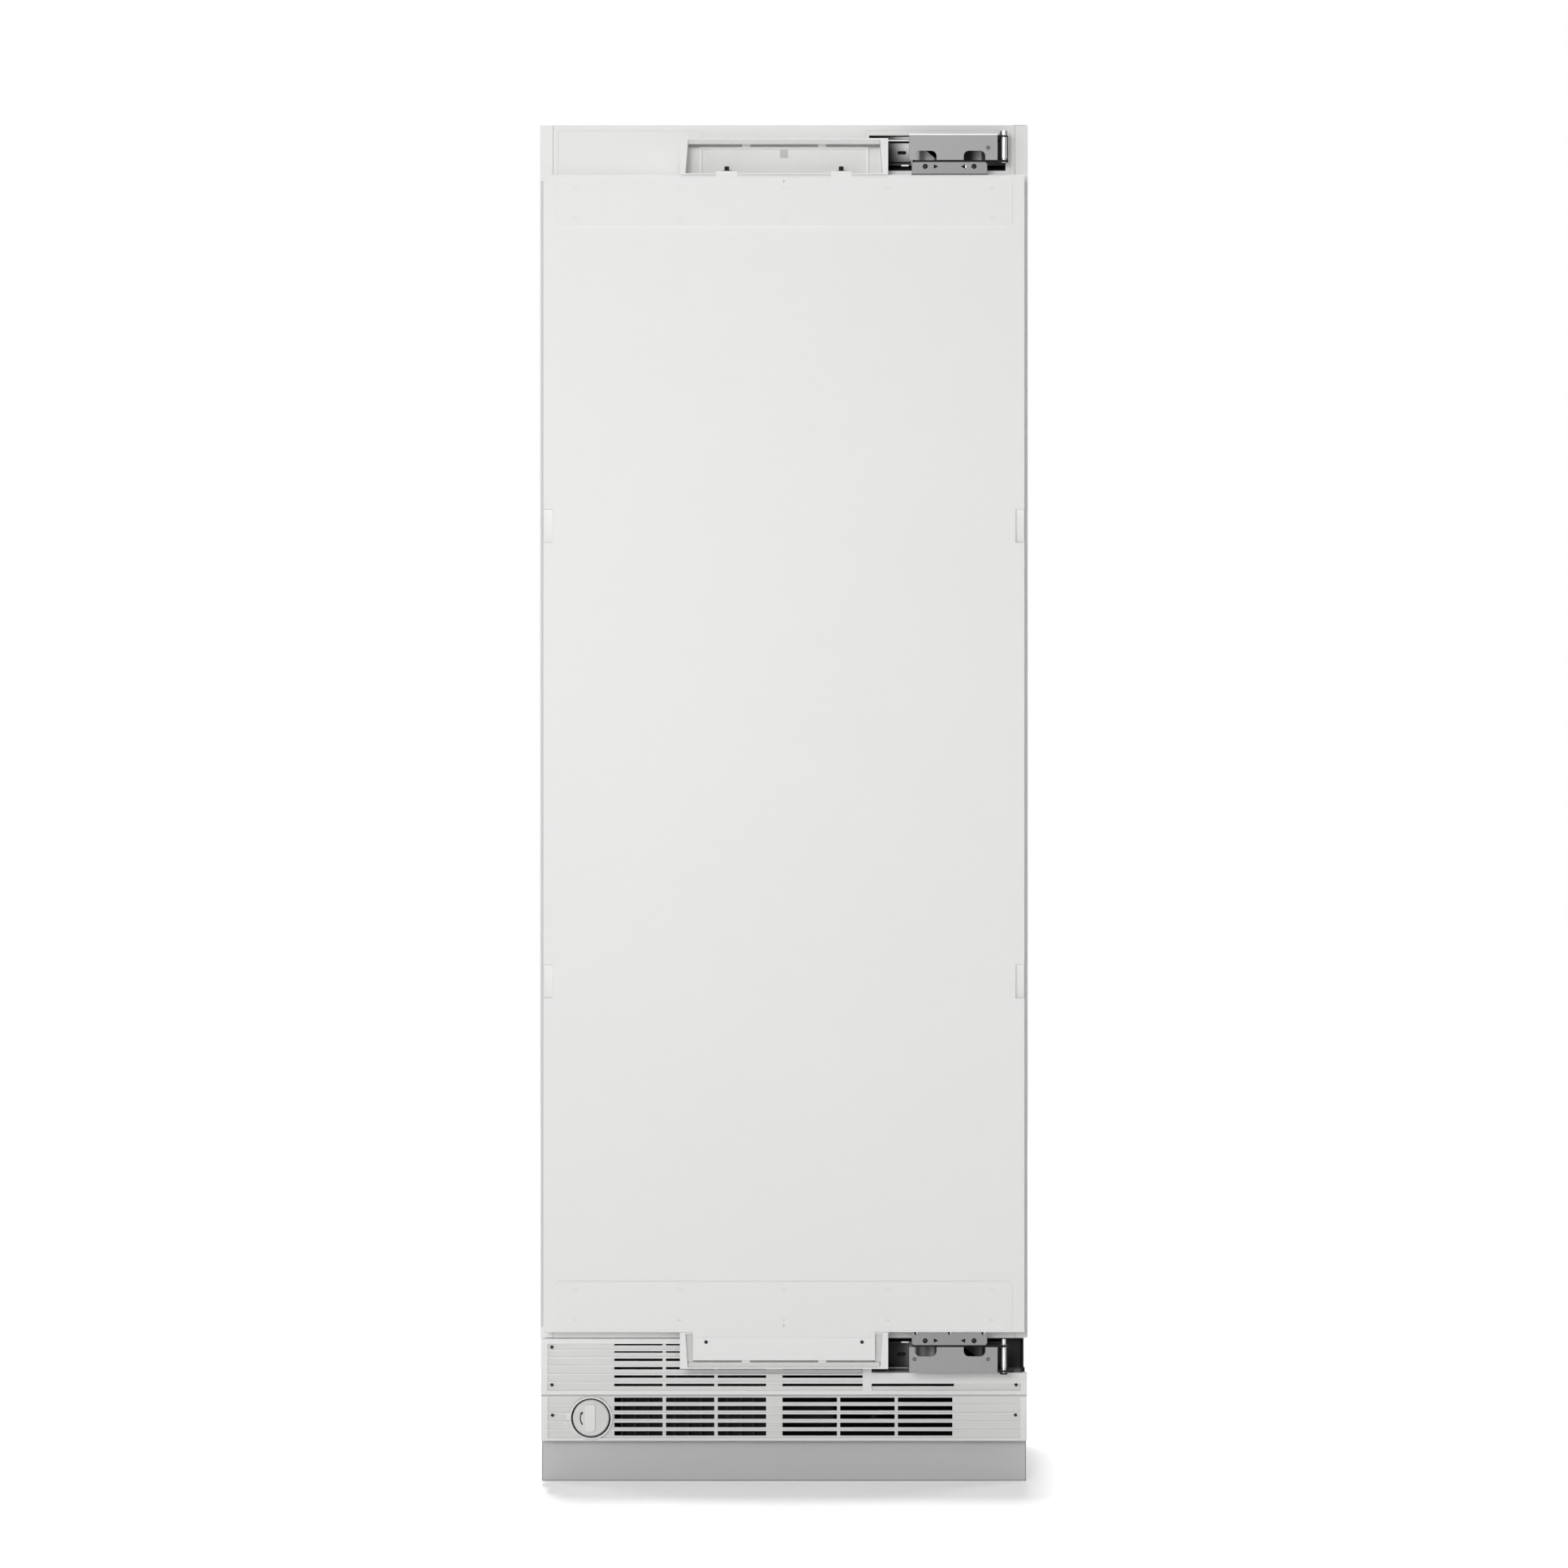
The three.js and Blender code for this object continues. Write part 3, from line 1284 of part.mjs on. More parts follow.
function fanShroud() {
  const radius = hotFanRadius + ductClearance;
  const top = baseHeight - fitGap;
  const plate = block(span(condenserX, shroudWidth), from(shroudY, shroudSheet), [floorZ, top]);
  const ringY = [shroudY, shroudY + shroudRim];
  const rim = rod("y", radius + ductWall, ringY, condenserX, hotFanZ);
  const mouth = rod("y", radius, grow(ringY, overrun), condenserX, hotFanZ);
  const motorY = from(ringY[1] - ductWall, hotMotorDepth);
  const barX = span(condenserX, 2 * radius + ductWall);
  const bar = block(barX, from(motorY[0], ductWall), span(hotFanZ, ductBar));
  const motor = rod("y", hotMotorRadius, motorY, condenserX, hotFanZ);
  const shaftY = [hotFanY + hotFanDepth / 2 - fanShaftSeat, motorY[0] + embed];
  const shaft = rod("y", fanShaftRadius, shaftY, condenserX, hotFanZ, smallSides);
  return join(cut(join(plate, rim), mouth), bar, motor, shaft);
}

function compressor() {
  const points = [
    [0, 0],
    [compressorBaseRadius, 0],
    [compressorRadius, compressorCrown],
    [compressorRadius, compressorHeight - compressorCrown],
    [compressorBaseRadius, compressorHeight - compressorShoulder],
    [0, compressorHeight],
  ].map(([r, z]) => new THREE.Vector2(r, z));
  const shell = new THREE.LatheGeometry(points, roundSides);
  shell.rotateX(Math.PI / 2).translate(compressorX, compressorY, floorZ + compressorFoot);
  const plate = block(
    span(compressorX, 2 * compressorRadius),
    span(compressorY, compressorPlateDepth),
    [floorZ + compressorFoot - 2 * embed, floorZ + compressorFoot + 2 * embed],
  );
  const feet = [-1, 1].flatMap((i) =>
    [-1, 1].map((j) =>
      rod(
        "z",
        compressorFoot,
        [floorZ, floorZ + compressorFoot],
        compressorX + i * (compressorRadius - compressorFoot),
        compressorY + (j * compressorFootPitch) / 2,
        smallSides,
      ),
    ),
  );
  return join(solid(shell), plate, ...feet);
}

function drainPan() {
  const xs = [filterSideX + drainPanFilterGap, compressorX - compressorRadius - drainPanCompressorGap];
  const ys = from(backY - drainPanRearInset - drainPanDepth, drainPanDepth);
  const insideZ = [floorZ + drainPanWall, floorZ + drainPanHeight + overrun];
  return cut(
    block(xs, ys, from(floorZ, drainPanHeight)),
    block(grow(xs, -drainPanWall), grow(ys, -drainPanWall), insideZ),
  );
}

piece("condenser", condenser(), blackPaint);
piece("condenser_fan_shroud", fanShroud(), blackPlastic);
piece("condenser_fan", fan(hotFanRadius, hotFanDepth, condenserX, hotFanY, hotFanZ, 1), blackPlastic);
piece("compressor", compressor(), blackPaint);
piece("drain_pan", drainPan(), blackPlastic);

// Front feet, each a pad with a stud and nut under the base frame
function frontFoot(side) {
  const x = side * rollerX;
  const top = panHeight - fitGap;
  return join(
    rod("z", footPadRadius, [0, footPadHeight], x, frontFootY),
    rod("z", footStudRadius, [footPadHeight - embed, top], x, frontFootY, smallSides),
    rod("z", footNutRadius, [top - footNutHeight, top], x, frontFootY, hexSides),
  );
}

// Rear rollers, each with its axle in the base frame's ears
function rearRoller(side) {
  const x = side * rollerX;
  const axle = rollerWidth / 2 + runGap + rollerEar;
  return join(
    rod("x", rollerRadius, span(x, rollerWidth), rollerY, rollerRadius),
    rod("x", rollerAxleRadius, span(x, 2 * axle), rollerY, rollerRadius, smallSides),
  );
}

for (const [name, side] of [
  ["left", -1],
  ["right", 1],
]) {
  piece("front_foot_" + name, frontFoot(side), darkSteel);
  piece("rear_roller_" + name, rearRoller(side), blackPlastic);
}

export default refrigerator;
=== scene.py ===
"""A panel-ready column refrigerator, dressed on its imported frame."""
import json
import math

import bmesh
import bpy
from mathutils import Matrix, Vector


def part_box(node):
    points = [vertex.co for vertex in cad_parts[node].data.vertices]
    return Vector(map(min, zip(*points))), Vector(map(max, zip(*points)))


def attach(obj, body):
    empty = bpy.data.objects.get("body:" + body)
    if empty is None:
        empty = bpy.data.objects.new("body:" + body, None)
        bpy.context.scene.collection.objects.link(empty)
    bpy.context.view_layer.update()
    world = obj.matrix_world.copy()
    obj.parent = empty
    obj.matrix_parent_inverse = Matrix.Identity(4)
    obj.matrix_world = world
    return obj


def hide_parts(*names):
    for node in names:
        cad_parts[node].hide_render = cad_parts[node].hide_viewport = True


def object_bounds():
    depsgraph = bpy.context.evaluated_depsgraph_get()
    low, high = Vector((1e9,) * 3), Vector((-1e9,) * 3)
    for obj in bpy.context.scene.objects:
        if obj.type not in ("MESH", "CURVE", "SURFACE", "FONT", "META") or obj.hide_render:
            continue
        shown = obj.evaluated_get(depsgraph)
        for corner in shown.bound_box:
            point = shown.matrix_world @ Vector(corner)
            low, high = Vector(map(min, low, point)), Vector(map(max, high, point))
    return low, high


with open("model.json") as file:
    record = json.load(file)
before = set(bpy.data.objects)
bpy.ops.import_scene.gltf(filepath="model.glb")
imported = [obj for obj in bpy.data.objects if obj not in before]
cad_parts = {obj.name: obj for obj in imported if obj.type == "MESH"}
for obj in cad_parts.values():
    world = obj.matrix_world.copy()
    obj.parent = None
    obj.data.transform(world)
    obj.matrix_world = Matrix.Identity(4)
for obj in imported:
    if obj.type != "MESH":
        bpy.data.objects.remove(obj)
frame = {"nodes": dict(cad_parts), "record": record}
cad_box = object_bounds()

MM = 0.001
nodes = frame["nodes"]
body_of = {
    node: body
    for body, members in frame["record"]["behaviour"]["bodies"].items()
    for node in members
}
slot_of = {row["node"]: row["material_slot"] for row in frame["record"]["subparts"]}


# Camera: straight in front, level, at the door's middle height, as in the photograph
PHOTO_SIZE = 1932
PHOTO_SCALE = 1.247  # mm of the door's front to a pixel of the photograph
CAMERA_DISTANCE = 8000  # to the door's front
CAMERA_HEIGHT = 1086.7
SENSOR = 36
DOOR_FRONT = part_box("door_outer_panel")[0].y / MM
CAMERA_CLIP = 60  # m

camera = bpy.data.objects.new("camera", bpy.data.cameras.new("camera"))
bpy.context.scene.collection.objects.link(camera)
bpy.context.scene.camera = camera
camera.location = (0, (DOOR_FRONT - CAMERA_DISTANCE) * MM, CAMERA_HEIGHT * MM)
camera.rotation_euler = (math.pi / 2, 0, 0)
camera.data.sensor_width = SENSOR
camera.data.lens = SENSOR * CAMERA_DISTANCE / (PHOTO_SCALE * PHOTO_SIZE)
camera.data.clip_end = CAMERA_CLIP


def scale_at(y):
    """Millimetres to a pixel of the photograph, in the plane at that Y"""
    return PHOTO_SCALE * (1 + (y - DOOR_FRONT) / CAMERA_DISTANCE)


def across(pixel, y):
    return (pixel - PHOTO_SIZE / 2) * scale_at(y)


def upright(pixel, y):
    return CAMERA_HEIGHT + (PHOTO_SIZE / 2 - pixel) * scale_at(y)


def span_across(pixels, y):
    """A range along X from two pixels of the photograph"""
    return [across(pixel, y) for pixel in pixels]


def span_upright(pixels, y):
    """A range along Z from two pixels of the photograph"""
    return [upright(pixel, y) for pixel in pixels]


def span(middle, size):
    return (middle - size / 2, middle + size / 2)


def room(node):
    """A CAD node's ranges along X, Y and Z in millimetres"""
    low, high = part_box(node)
    return [(a / MM, b / MM) for a, b in zip(low, high)]


# Materials
def linear(colour):
    """An sRGB hex colour as linear red, green, blue and alpha"""
    channels = [int(colour[i : i + 2], 16) / 255 for i in (1, 3, 5)]
    return tuple(
        c / 12.92 if c <= 0.04045 else ((c + 0.055) / 1.055) ** 2.4 for c in channels
    ) + (1.0,)


def add_node(tree, kind, inputs=None, **settings):
    """Adds a node with its settings. An input is a value or another node's output."""
    made = tree.nodes.new("ShaderNode" + kind)
    for name, value in settings.items():
        setattr(made, name, value)
    for name, value in (inputs or {}).items():
        if isinstance(value, bpy.types.NodeSocket):
            tree.links.new(value, made.inputs[name])
        else:
            made.inputs[name].default_value = value
    return made


DRIFT_SIZE = 260  # mm over which a finish's tone wanders


def finish(name, colour, drift_colour, grain, relief, stretch=(1, 1, 1), pattern="noise", **shader):
    """A surface whose tone drifts between two colours, with a grain and its relief in millimetres"""
    material = bpy.data.materials.new(name)
    material.use_nodes = True
    tree = material.node_tree
    tree.nodes.clear()
    place = add_node(tree, "TexCoord").outputs["Object"]
    drift = add_node(
        tree, "TexNoise", {"Vector": place, "Scale": 1 / (DRIFT_SIZE * MM), "Detail": 2.0}
    )
    tone = add_node(
        tree,
        "Mix",
        {"Factor": drift.outputs["Fac"], "A": linear(colour), "B": linear(drift_colour)},
        data_type="RGBA",
    )
    stretched = add_node(tree, "Mapping", {"Vector": place, "Scale": stretch}).outputs["Vector"]
    scale = 1 / (grain * MM)
    if pattern == "cells":
        texture = add_node(tree, "TexVoronoi", {"Vector": stretched, "Scale": scale})
        height = texture.outputs["Distance"]
    else:
        texture = add_node(tree, "TexNoise", {"Vector": stretched, "Scale": scale, "Detail": 3.0})
        height = texture.outputs["Fac"]
    bump = add_node(tree, "Bump", {"Height": height, "Distance": relief * MM, "Strength": 1.0})
    shell = add_node(
        tree,
        "BsdfPrincipled",
        {"Base Color": tone.outputs["Result"], "Normal": bump.outputs["Normal"], **shader},
    )
    add_node(tree, "OutputMaterial", {"Surface": shell.outputs["BSDF"]})
    return material


# White powder coat on sheet steel: a soft sheen with a faint orange peel. The peel's real 2 mm
# waves are drawn 4 mm wide so that they show.
powder_coat = finish(
    "white_powder_coat", "#F2F2F1", "#F0F0EF", 4, 0.02, Roughness=0.42, IOR=1.5
)
# White ABS from a spark-eroded mould: an even satin white, a shade brighter than the paint
moulded_abs = finish(
    "white_moulded_abs", "#F4F4F3", "#F2F2F1", 1.5, 0.015, Roughness=0.5, IOR=1.52
)
# Thermoformed polystyrene liner: a cooler white than the outside, and glossier
liner_polystyrene = finish(
    "white_polystyrene_liner", "#EDEEEE", "#E9EAEA", 8, 0.03, Roughness=0.3, IOR=1.59
)
# Zinc-plated and passivated steel: an even matte grey with a fine rolled grain along X
zinc_plate = finish(
    "zinc_plated_steel", "#838383", "#7D7D7D", 1.2, 0.01, stretch=(0.15, 1, 1),
    Roughness=0.48, Metallic=0.75,
)
# The door brackets' zinc is passivated a shade darker than the leaves'
bracket_zinc = finish(
    "dark_passivated_zinc", "#7E7E7E", "#787878", 1.2, 0.01, stretch=(0.15, 1, 1),
    Roughness=0.5, Metallic=0.75,
)

# Black ABS of the pockets, fans and panels: deep black with a dull moulded grain
black_abs = finish("black_moulded_abs", "#0B0B0B", "#101010", 1.5, 0.02, Roughness=0.6, IOR=1.52)
# Black-oxide screws and spindles: near black with a metal glint
black_oxide = finish(
    "black_oxide_steel", "#1A1A1B", "#222223", 0.6, 0.006, Roughness=0.35, Metallic=0.8
)
# Rivet ends: the same zinc, duller where they were pressed
rivet_steel = finish(
    "pressed_rivet_steel", "#686868", "#626262", 1.0, 0.01, Roughness=0.55, Metallic=0.4
)
# Painted highlights: near-white strips on the hinge's sheet edges and arms that stand for the light
# they catch
painted_highlight = finish(
    "bright_sheared_edge", "#F4F4F4", "#EDEDED", 0.8, 0.003, Roughness=0.35, Metallic=0.2
)
# Black coating of the condenser's fins, dull and even
fin_coat = finish("black_fin_coat", "#0E0E0F", "#141416", 2, 0.01, Roughness=0.7, IOR=1.5)
# Dead black: closed-cell rubber of the rear dust sheet, and painted shade on the hinge's knuckles and in
# the strips, punched triangles and notches round the hinges and behind the pins
rubber_and_painted_shade = finish("black_seal_rubber", "#050505", "#080808", 1.5, 0.02, Roughness=0.9, IOR=1.45)
# Plain grey coated steel of the toe kick: flat and even
toe_coat = finish("grey_toe_kick_coat", "#D5D5D5", "#D2D2D2", 3, 0.02, Roughness=0.55, IOR=1.5)
# Dark electro-coated steel of the base: dull and slightly mottled
base_coat = finish("dark_base_coat", "#1B1B1C", "#232324", 2.5, 0.02, Roughness=0.8, IOR=1.4)
# Black compressor enamel: thick, satin and a little uneven
compressor_enamel = finish(
    "black_compressor_enamel", "#0D0D0E", "#131315", 14, 0.12, Roughness=0.5, IOR=1.45
)
# Soft PVC magnetic gasket: pale grey with a rubbery dull face
gasket_pvc = finish("pale_gasket_pvc", "#D5D5D3", "#CECECC", 1.2, 0.01, Roughness=0.65, IOR=1.53)
# Rigid polyurethane foam: yellowish, with closed cells about 1 mm wide, drawn at 2 mm
foam_cells = finish(
    "rigid_foam", "#E8DDB4", "#D9CB9C", 2, 0.5, pattern="cells", Roughness=0.95, IOR=1.4
)
# Plain aluminium fins: bright mill finish with a grain along the rolling
mill_aluminium = finish(
    "mill_finish_aluminium", "#C6C9CC", "#B9BCC0", 1, 0.01, stretch=(1, 1, 0.1),
    Roughness=0.35, Metallic=1.0,
)
# Satin anodised aluminium of the shelf fronts and bin rails, brushed along X
anodised = finish(
    "satin_anodised_aluminium", "#CFD1D2", "#C6C8CA", 0.6, 0.006, stretch=(0.05, 1, 1),
    Roughness=0.3, Metallic=1.0,
)
# Clear injection-moulded polystyrene of the drawers and bins, faintly cool
clear_styrene = finish(
    "clear_polystyrene", "#F4F9FA", "#EEF5F7", 12, 0.02,
    **{"Roughness": 0.04, "IOR": 1.59, "Transmission Weight": 1.0},
)
# Toughened float glass: clear, with a faint green cast
shelf_glass = finish(
    "toughened_glass", "#F0F8F5", "#EBF5F1", 40, 0.02,
    **{"Roughness": 0.01, "IOR": 1.52, "Transmission Weight": 1.0},
)
# Opal acrylic lens over the interior light: milky and even
light_lens = finish(
    "opal_light_lens", "#F7F6F1", "#F4F3EE", 3, 0.02,
    **{"Roughness": 0.4, "IOR": 1.49, "Subsurface Weight": 0.3},
)
# The display's gloss black window, smooth enough to mirror the room
display_glass = finish(
    "black_display_window", "#050506", "#070708", 30, 0.01, Roughness=0.06, IOR=1.5
)
# Dull, nearly black silk-screen ink of the arrow on the filter cap
mark_ink = finish("dark_mark_ink", "#161616", "#1C1C1C", 0.8, 0.004, Roughness=0.6, IOR=1.5)
# Pressed marks, whose roughened white reads a little greyer than the face round them
soft_mark = finish("pressed_mark", "#CCCCCB", "#C7C7C6", 0.8, 0.004, Roughness=0.5, IOR=1.5)
# A greyer powder coat on the left trim's front edge beside the door: painted shade
trim_edge_shade = finish("painted_trim_edge_shade", "#E4E4E3", "#E2E2E1", 4, 0.01, Roughness=0.5, IOR=1.5)
# A still greyer line along that edge: painted shade
trim_line_shade = finish("painted_trim_line_shade", "#D2D2D1", "#CFCFCE", 4, 0.01, Roughness=0.6, IOR=1.5)
# The same white ABS, greyer: painted shade on the lower grille's top edge under the upper grille's
# overhang
ledge_shade_abs = finish("painted_ledge_shade_abs", "#C4C4C3", "#BFBFBE", 1.5, 0.01, Roughness=0.7, IOR=1.5)
# Matt white ABS a shade darker than the mould's face: painted shade, used on the grilles' recess
# floors, the lower tray's ribbed band and the cover plate's flanks
recess_shade_abs = finish("matt_painted_recess_shade_abs", "#E9E9E8", "#E6E6E5", 1.2, 0.03, Roughness=0.75, IOR=1.52)
# The trays' backs: an even matt white a touch brighter than the moulded white, painted light that
# lifts their shade
tray_back_painted_light_abs = finish(
    "matt_tray_back_abs", "#F6F6F5", "#F4F4F3", 1.2, 0.02, Roughness=0.7, IOR=1.52
)
# Ribbed band under the upper tray's lip: a rougher, greyer white, painted shade under the lip
band_abs = finish("ribbed_band_painted_shade_abs", "#DCDCDB", "#D8D8D7", 1.2, 0.03, Roughness=0.75, IOR=1.52)
# Insides of the trays' vent slots, grey: painted shade
slot_abs = finish("painted_slot_shade_abs", "#B2B2B1", "#ACACAB", 1.2, 0.02, Roughness=0.8, IOR=1.5)
# Inner faces of the panel trays: polished in the mould, and a brighter white, painted light that lifts
# their shade
polished_painted_light_abs = finish(
    "polished_tray_painted_light_abs", "#FAFAF9", "#F8F8F7", 2, 0.01, Roughness=0.4, IOR=1.52
)
# The filter cap's disc: a slightly greyer white than its grip
cap_abs = finish("filter_cap_abs", "#E6E6E5", "#E3E3E2", 1.5, 0.015, Roughness=0.5, IOR=1.52)
# A dull mid grey, painted: shade along the toe kick's edges, and a highlight on the lower hinge arm
painted_edge_grey = finish("painted_edge_shade_and_highlight", "#9A9A9A", "#949494", 2, 0.01, Roughness=0.55, IOR=1.5)


FADE_EDGE = 3  # mm over which a fade ends beside its X


def painted_bands(name, bands, grain, relief, fade=None, **shader):
    """Bright steel with a painted reflection: its tone runs along X in bands, as a curved face would
    mirror what lies beside it. A band is an X in millimetres and its colour. A fade is painted shade that
    darkens it downwards, left of an X: that X, the heights between which it runs and the share of the
    tone that is left at the bottom."""
    material = finish(name, bands[0][1], bands[0][1], grain, relief, **shader)
    tree = material.node_tree
    place = add_node(tree, "TexCoord").outputs["Object"]
    parts = add_node(tree, "SeparateXYZ", {"Vector": place})
    start, end = bands[0][0], bands[-1][0]
    share = add_node(
        tree, "MapRange", {"Value": parts.outputs["X"], "From Min": start * MM, "From Max": end * MM}
    )
    ramp = add_node(tree, "ValToRGB", {"Fac": share.outputs["Result"]})
    stops = ramp.color_ramp.elements
    stops[0].color = linear(bands[0][1])
    stops[1].color = linear(bands[-1][1])
    for x, colour in bands[1:-1]:
        stops.new((x - start) / (end - start)).color = linear(colour)
    tone = ramp.outputs["Color"]
    if fade:
        side, low, high, darkest = fade
        rise = add_node(
            tree,
            "MapRange",
            {"Value": parts.outputs["Z"], "From Min": low * MM, "From Max": high * MM,
             "To Min": darkest},
        )
        beyond = add_node(
            tree,
            "MapRange",
            {"Value": parts.outputs["X"], "From Min": side * MM,
             "From Max": (side + FADE_EDGE) * MM},
        )
        shown = add_node(
            tree, "Math", {0: rise.outputs["Result"], 1: beyond.outputs["Result"]}, operation="MAXIMUM"
        )
        tone = add_node(
            tree,
            "Mix",
            {"Factor": shown.outputs[0], "A": linear("#000000"), "B": tone},
            data_type="RGBA",
        ).outputs["Result"]
    shell = next(n for n in tree.nodes if n.type == "BSDF_PRINCIPLED")
    tree.links.new(tone, shell.inputs["Base Color"])
    return material


# Cold-rolled steel of the upper hinge arm, with a painted reflection of the black pocket in dark bands
# and painted shade that darkens its lower part
arm_steel_upper = painted_bands(
    "hinge_arm_steel_upper",
    ((160, "#0A0A0A"), (168, "#4A4A4A"), (178, "#8C8C8C"), (190, "#B0B0B0"), (209, "#B4B4B4"),
     (212, "#5A5A5A"), (217, "#666666"), (222, "#9E9E9E"), (232, "#ABABAB"), (236, "#303030"),
     (284, "#060606"), (292, "#1C1C1C"), (301, "#7C7C7C"), (306, "#9A9A9A"), (309, "#2A2A2A")),
    1.2, 0.01, fade=(197, 2051, 2080, 0.12), stretch=(0.15, 1, 1), Roughness=0.45, Metallic=0.6,
)
# The same steel of the lower arm, with a darker painted reflection of its black pocket for the shade it
# lies in
arm_steel_lower = painted_bands(
    "hinge_arm_steel_lower",
    ((160, "#040404"), (176, "#0A0A0A"), (186, "#222222"), (194, "#484848"), (203, "#707070"),
     (209, "#1E1E1E"), (216, "#747474"), (224, "#5A5A5A"), (232, "#8E8E8E"), (237, "#101010"),
     (284, "#040404"), (294, "#0C0C0C"), (302, "#383838"), (307, "#565656"), (310, "#080808")),
    1.2, 0.01, stretch=(0.15, 1, 1), Roughness=0.45, Metallic=0.6,
)


# Modelling: every shape is made in millimetres and turned to metres when its piece is finished
SHARP = math.radians(35)  # edges sharper than this stay crisp or take a rounding
ROUNDING_STEPS = 2
WELD = 0.01


def cuboid(bm, xs, ys, zs):
    sizes = [max(r) - min(r) for r in (xs, ys, zs)]
    middle = [sum(r) / 2 for r in (xs, ys, zs)]
    matrix = Matrix.Translation(middle) @ Matrix.Diagonal((*sizes, 1))
    return bmesh.ops.create_cube(bm, size=1, matrix=matrix)["verts"]


def plate(bm, outlines, ys):
    """A flat plate that faces the front: an outline in X and Z and any holes, over a range of Y"""
    low, high = min(ys), max(ys)
    edges = []
    for outline in outlines:
        corners = [bm.verts.new((x, low, z)) for x, z in outline]
        edges += [bm.edges.new((corners[i - 1], corners[i])) for i in range(len(corners))]
    filled = bmesh.ops.triangle_fill(bm, use_beauty=True, edges=edges)
    faces = [g for g in filled["geom"] if isinstance(g, bmesh.types.BMFace)]
    raised = bmesh.ops.extrude_face_region(bm, geom=faces)
    moved = [g for g in raised["geom"] if isinstance(g, bmesh.types.BMVert)]
    bmesh.ops.translate(bm, vec=(0, high - low, 0), verts=moved)
    bmesh.ops.recalc_face_normals(bm, faces=bm.faces)


def round_outline(xs, zs, radius, steps=5):
    """A rectangle with rounded corners, as points in X and Z"""
    x0, x1, z0, z1 = min(xs), max(xs), min(zs), max(zs)
    centres = [
        (x1 - radius, z0 + radius, -90),
        (x1 - radius, z1 - radius, 0),
        (x0 + radius, z1 - radius, 90),
        (x0 + radius, z0 + radius, 180),
    ]
    points = []
    for x, z, start in centres:
        for i in range(steps + 1):
            angle = math.radians(start + 90 * i / steps)
            points.append((x + radius * math.cos(angle), z + radius * math.sin(angle)))
    return points


def circle_outline(x, z, radius, steps=24):
    turns = [2 * math.pi * i / steps for i in range(steps)]
    return [(x + radius * math.cos(t), z + radius * math.sin(t)) for t in turns]


def turned(bm, profile, centre, axis=(0, 0, 1), steps=32):
    """A body of revolution: points of radius and distance along an axis through a centre"""
    along = Vector(axis)
    sideways = along.orthogonal().normalized()
    middle = Vector(centre)
    points = [middle + sideways * radius + along * far for radius, far in profile]
    verts = [bm.verts.new(p) for p in points]
    edges = [bm.edges.new(pair) for pair in zip(verts, verts[1:])]
    bmesh.ops.spin(
        bm, geom=verts + edges, cent=middle, axis=along, angle=2 * math.pi, steps=steps,
        use_merge=True,
    )
    bmesh.ops.remove_doubles(bm, verts=bm.verts, dist=WELD)
    bmesh.ops.recalc_face_normals(bm, faces=bm.faces)


def piece(name, bm, body, material, replaces=(), rounding=0.0, clamp=True, smooth=True):
    """Finishes a shape in millimetres as an object that rides on a body"""
    bmesh.ops.scale(bm, vec=(MM, MM, MM), verts=bm.verts)
    mesh = bpy.data.meshes.new(name)
    bm.to_mesh(mesh)
    bm.free()
    packed_normals = mesh.attributes.get("custom_normal")  # a merged copy's no longer fit its faces
    if packed_normals:
        mesh.attributes.remove(packed_normals)
    mesh.materials.append(material)
    mesh.polygons.foreach_set("use_smooth", [smooth] * len(mesh.polygons))
    mesh.set_sharp_from_angle(angle=SHARP)
    made = bpy.data.objects.new(name, mesh)
    bpy.context.scene.collection.objects.link(made)
    if rounding:
        bevel = made.modifiers.new("rounded edges", "BEVEL")
        bevel.width = rounding * MM
        bevel.segments = ROUNDING_STEPS
        bevel.limit_method = "ANGLE"
        bevel.angle_limit = SHARP
        bevel.harden_normals = True
        bevel.use_clamp_overlap = clamp
    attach(made, body)
    if replaces:
        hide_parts(*replaces)
    return made


def block(name, xs, ys, zs, body, material, slot, rounding=0.0):
    """A piece that is one cuboid"""
    bm = bmesh.new()
    cuboid(bm, xs, ys, zs)
    piece(name, bm, body, material, rounding=rounding)


def flat(name, outlines, ys, body, material, rounding=0.0):
    """A piece that is one flat plate"""
    bm = bmesh.new()
    plate(bm, outlines, ys)
    piece(name, bm, body, material, rounding=rounding)


def lathe(
    name, profile, centre, body, material, replaces=(), rounding=0.0, axis=(0, 0, 1), steps=32
):
    """A piece that is one turned body"""
    bm = bmesh.new()
    turned(bm, profile, centre, axis, steps)
    piece(name, bm, body, material, replaces, rounding)


FLAT_ENOUGH = math.radians(0.2)  # faces that meet flatter than this become one


def rounded(node, radius, material):
    """A copy of a CAD node whose edges are rounded, which stands for it"""
    bm = bmesh.new()
    bm.from_mesh(nodes[node].data)
    bmesh.ops.scale(bm, vec=(1 / MM,) * 3, verts=bm.verts)
    bmesh.ops.remove_doubles(bm, verts=bm.verts, dist=WELD)
    if radius:
        bmesh.ops.dissolve_limit(bm, angle_limit=FLAT_ENOUGH, verts=bm.verts, edges=bm.edges)
    return piece(
        "rounded_" + node, bm, body_of[node], material, (node,), radius, False,
        radius > 0,
    )


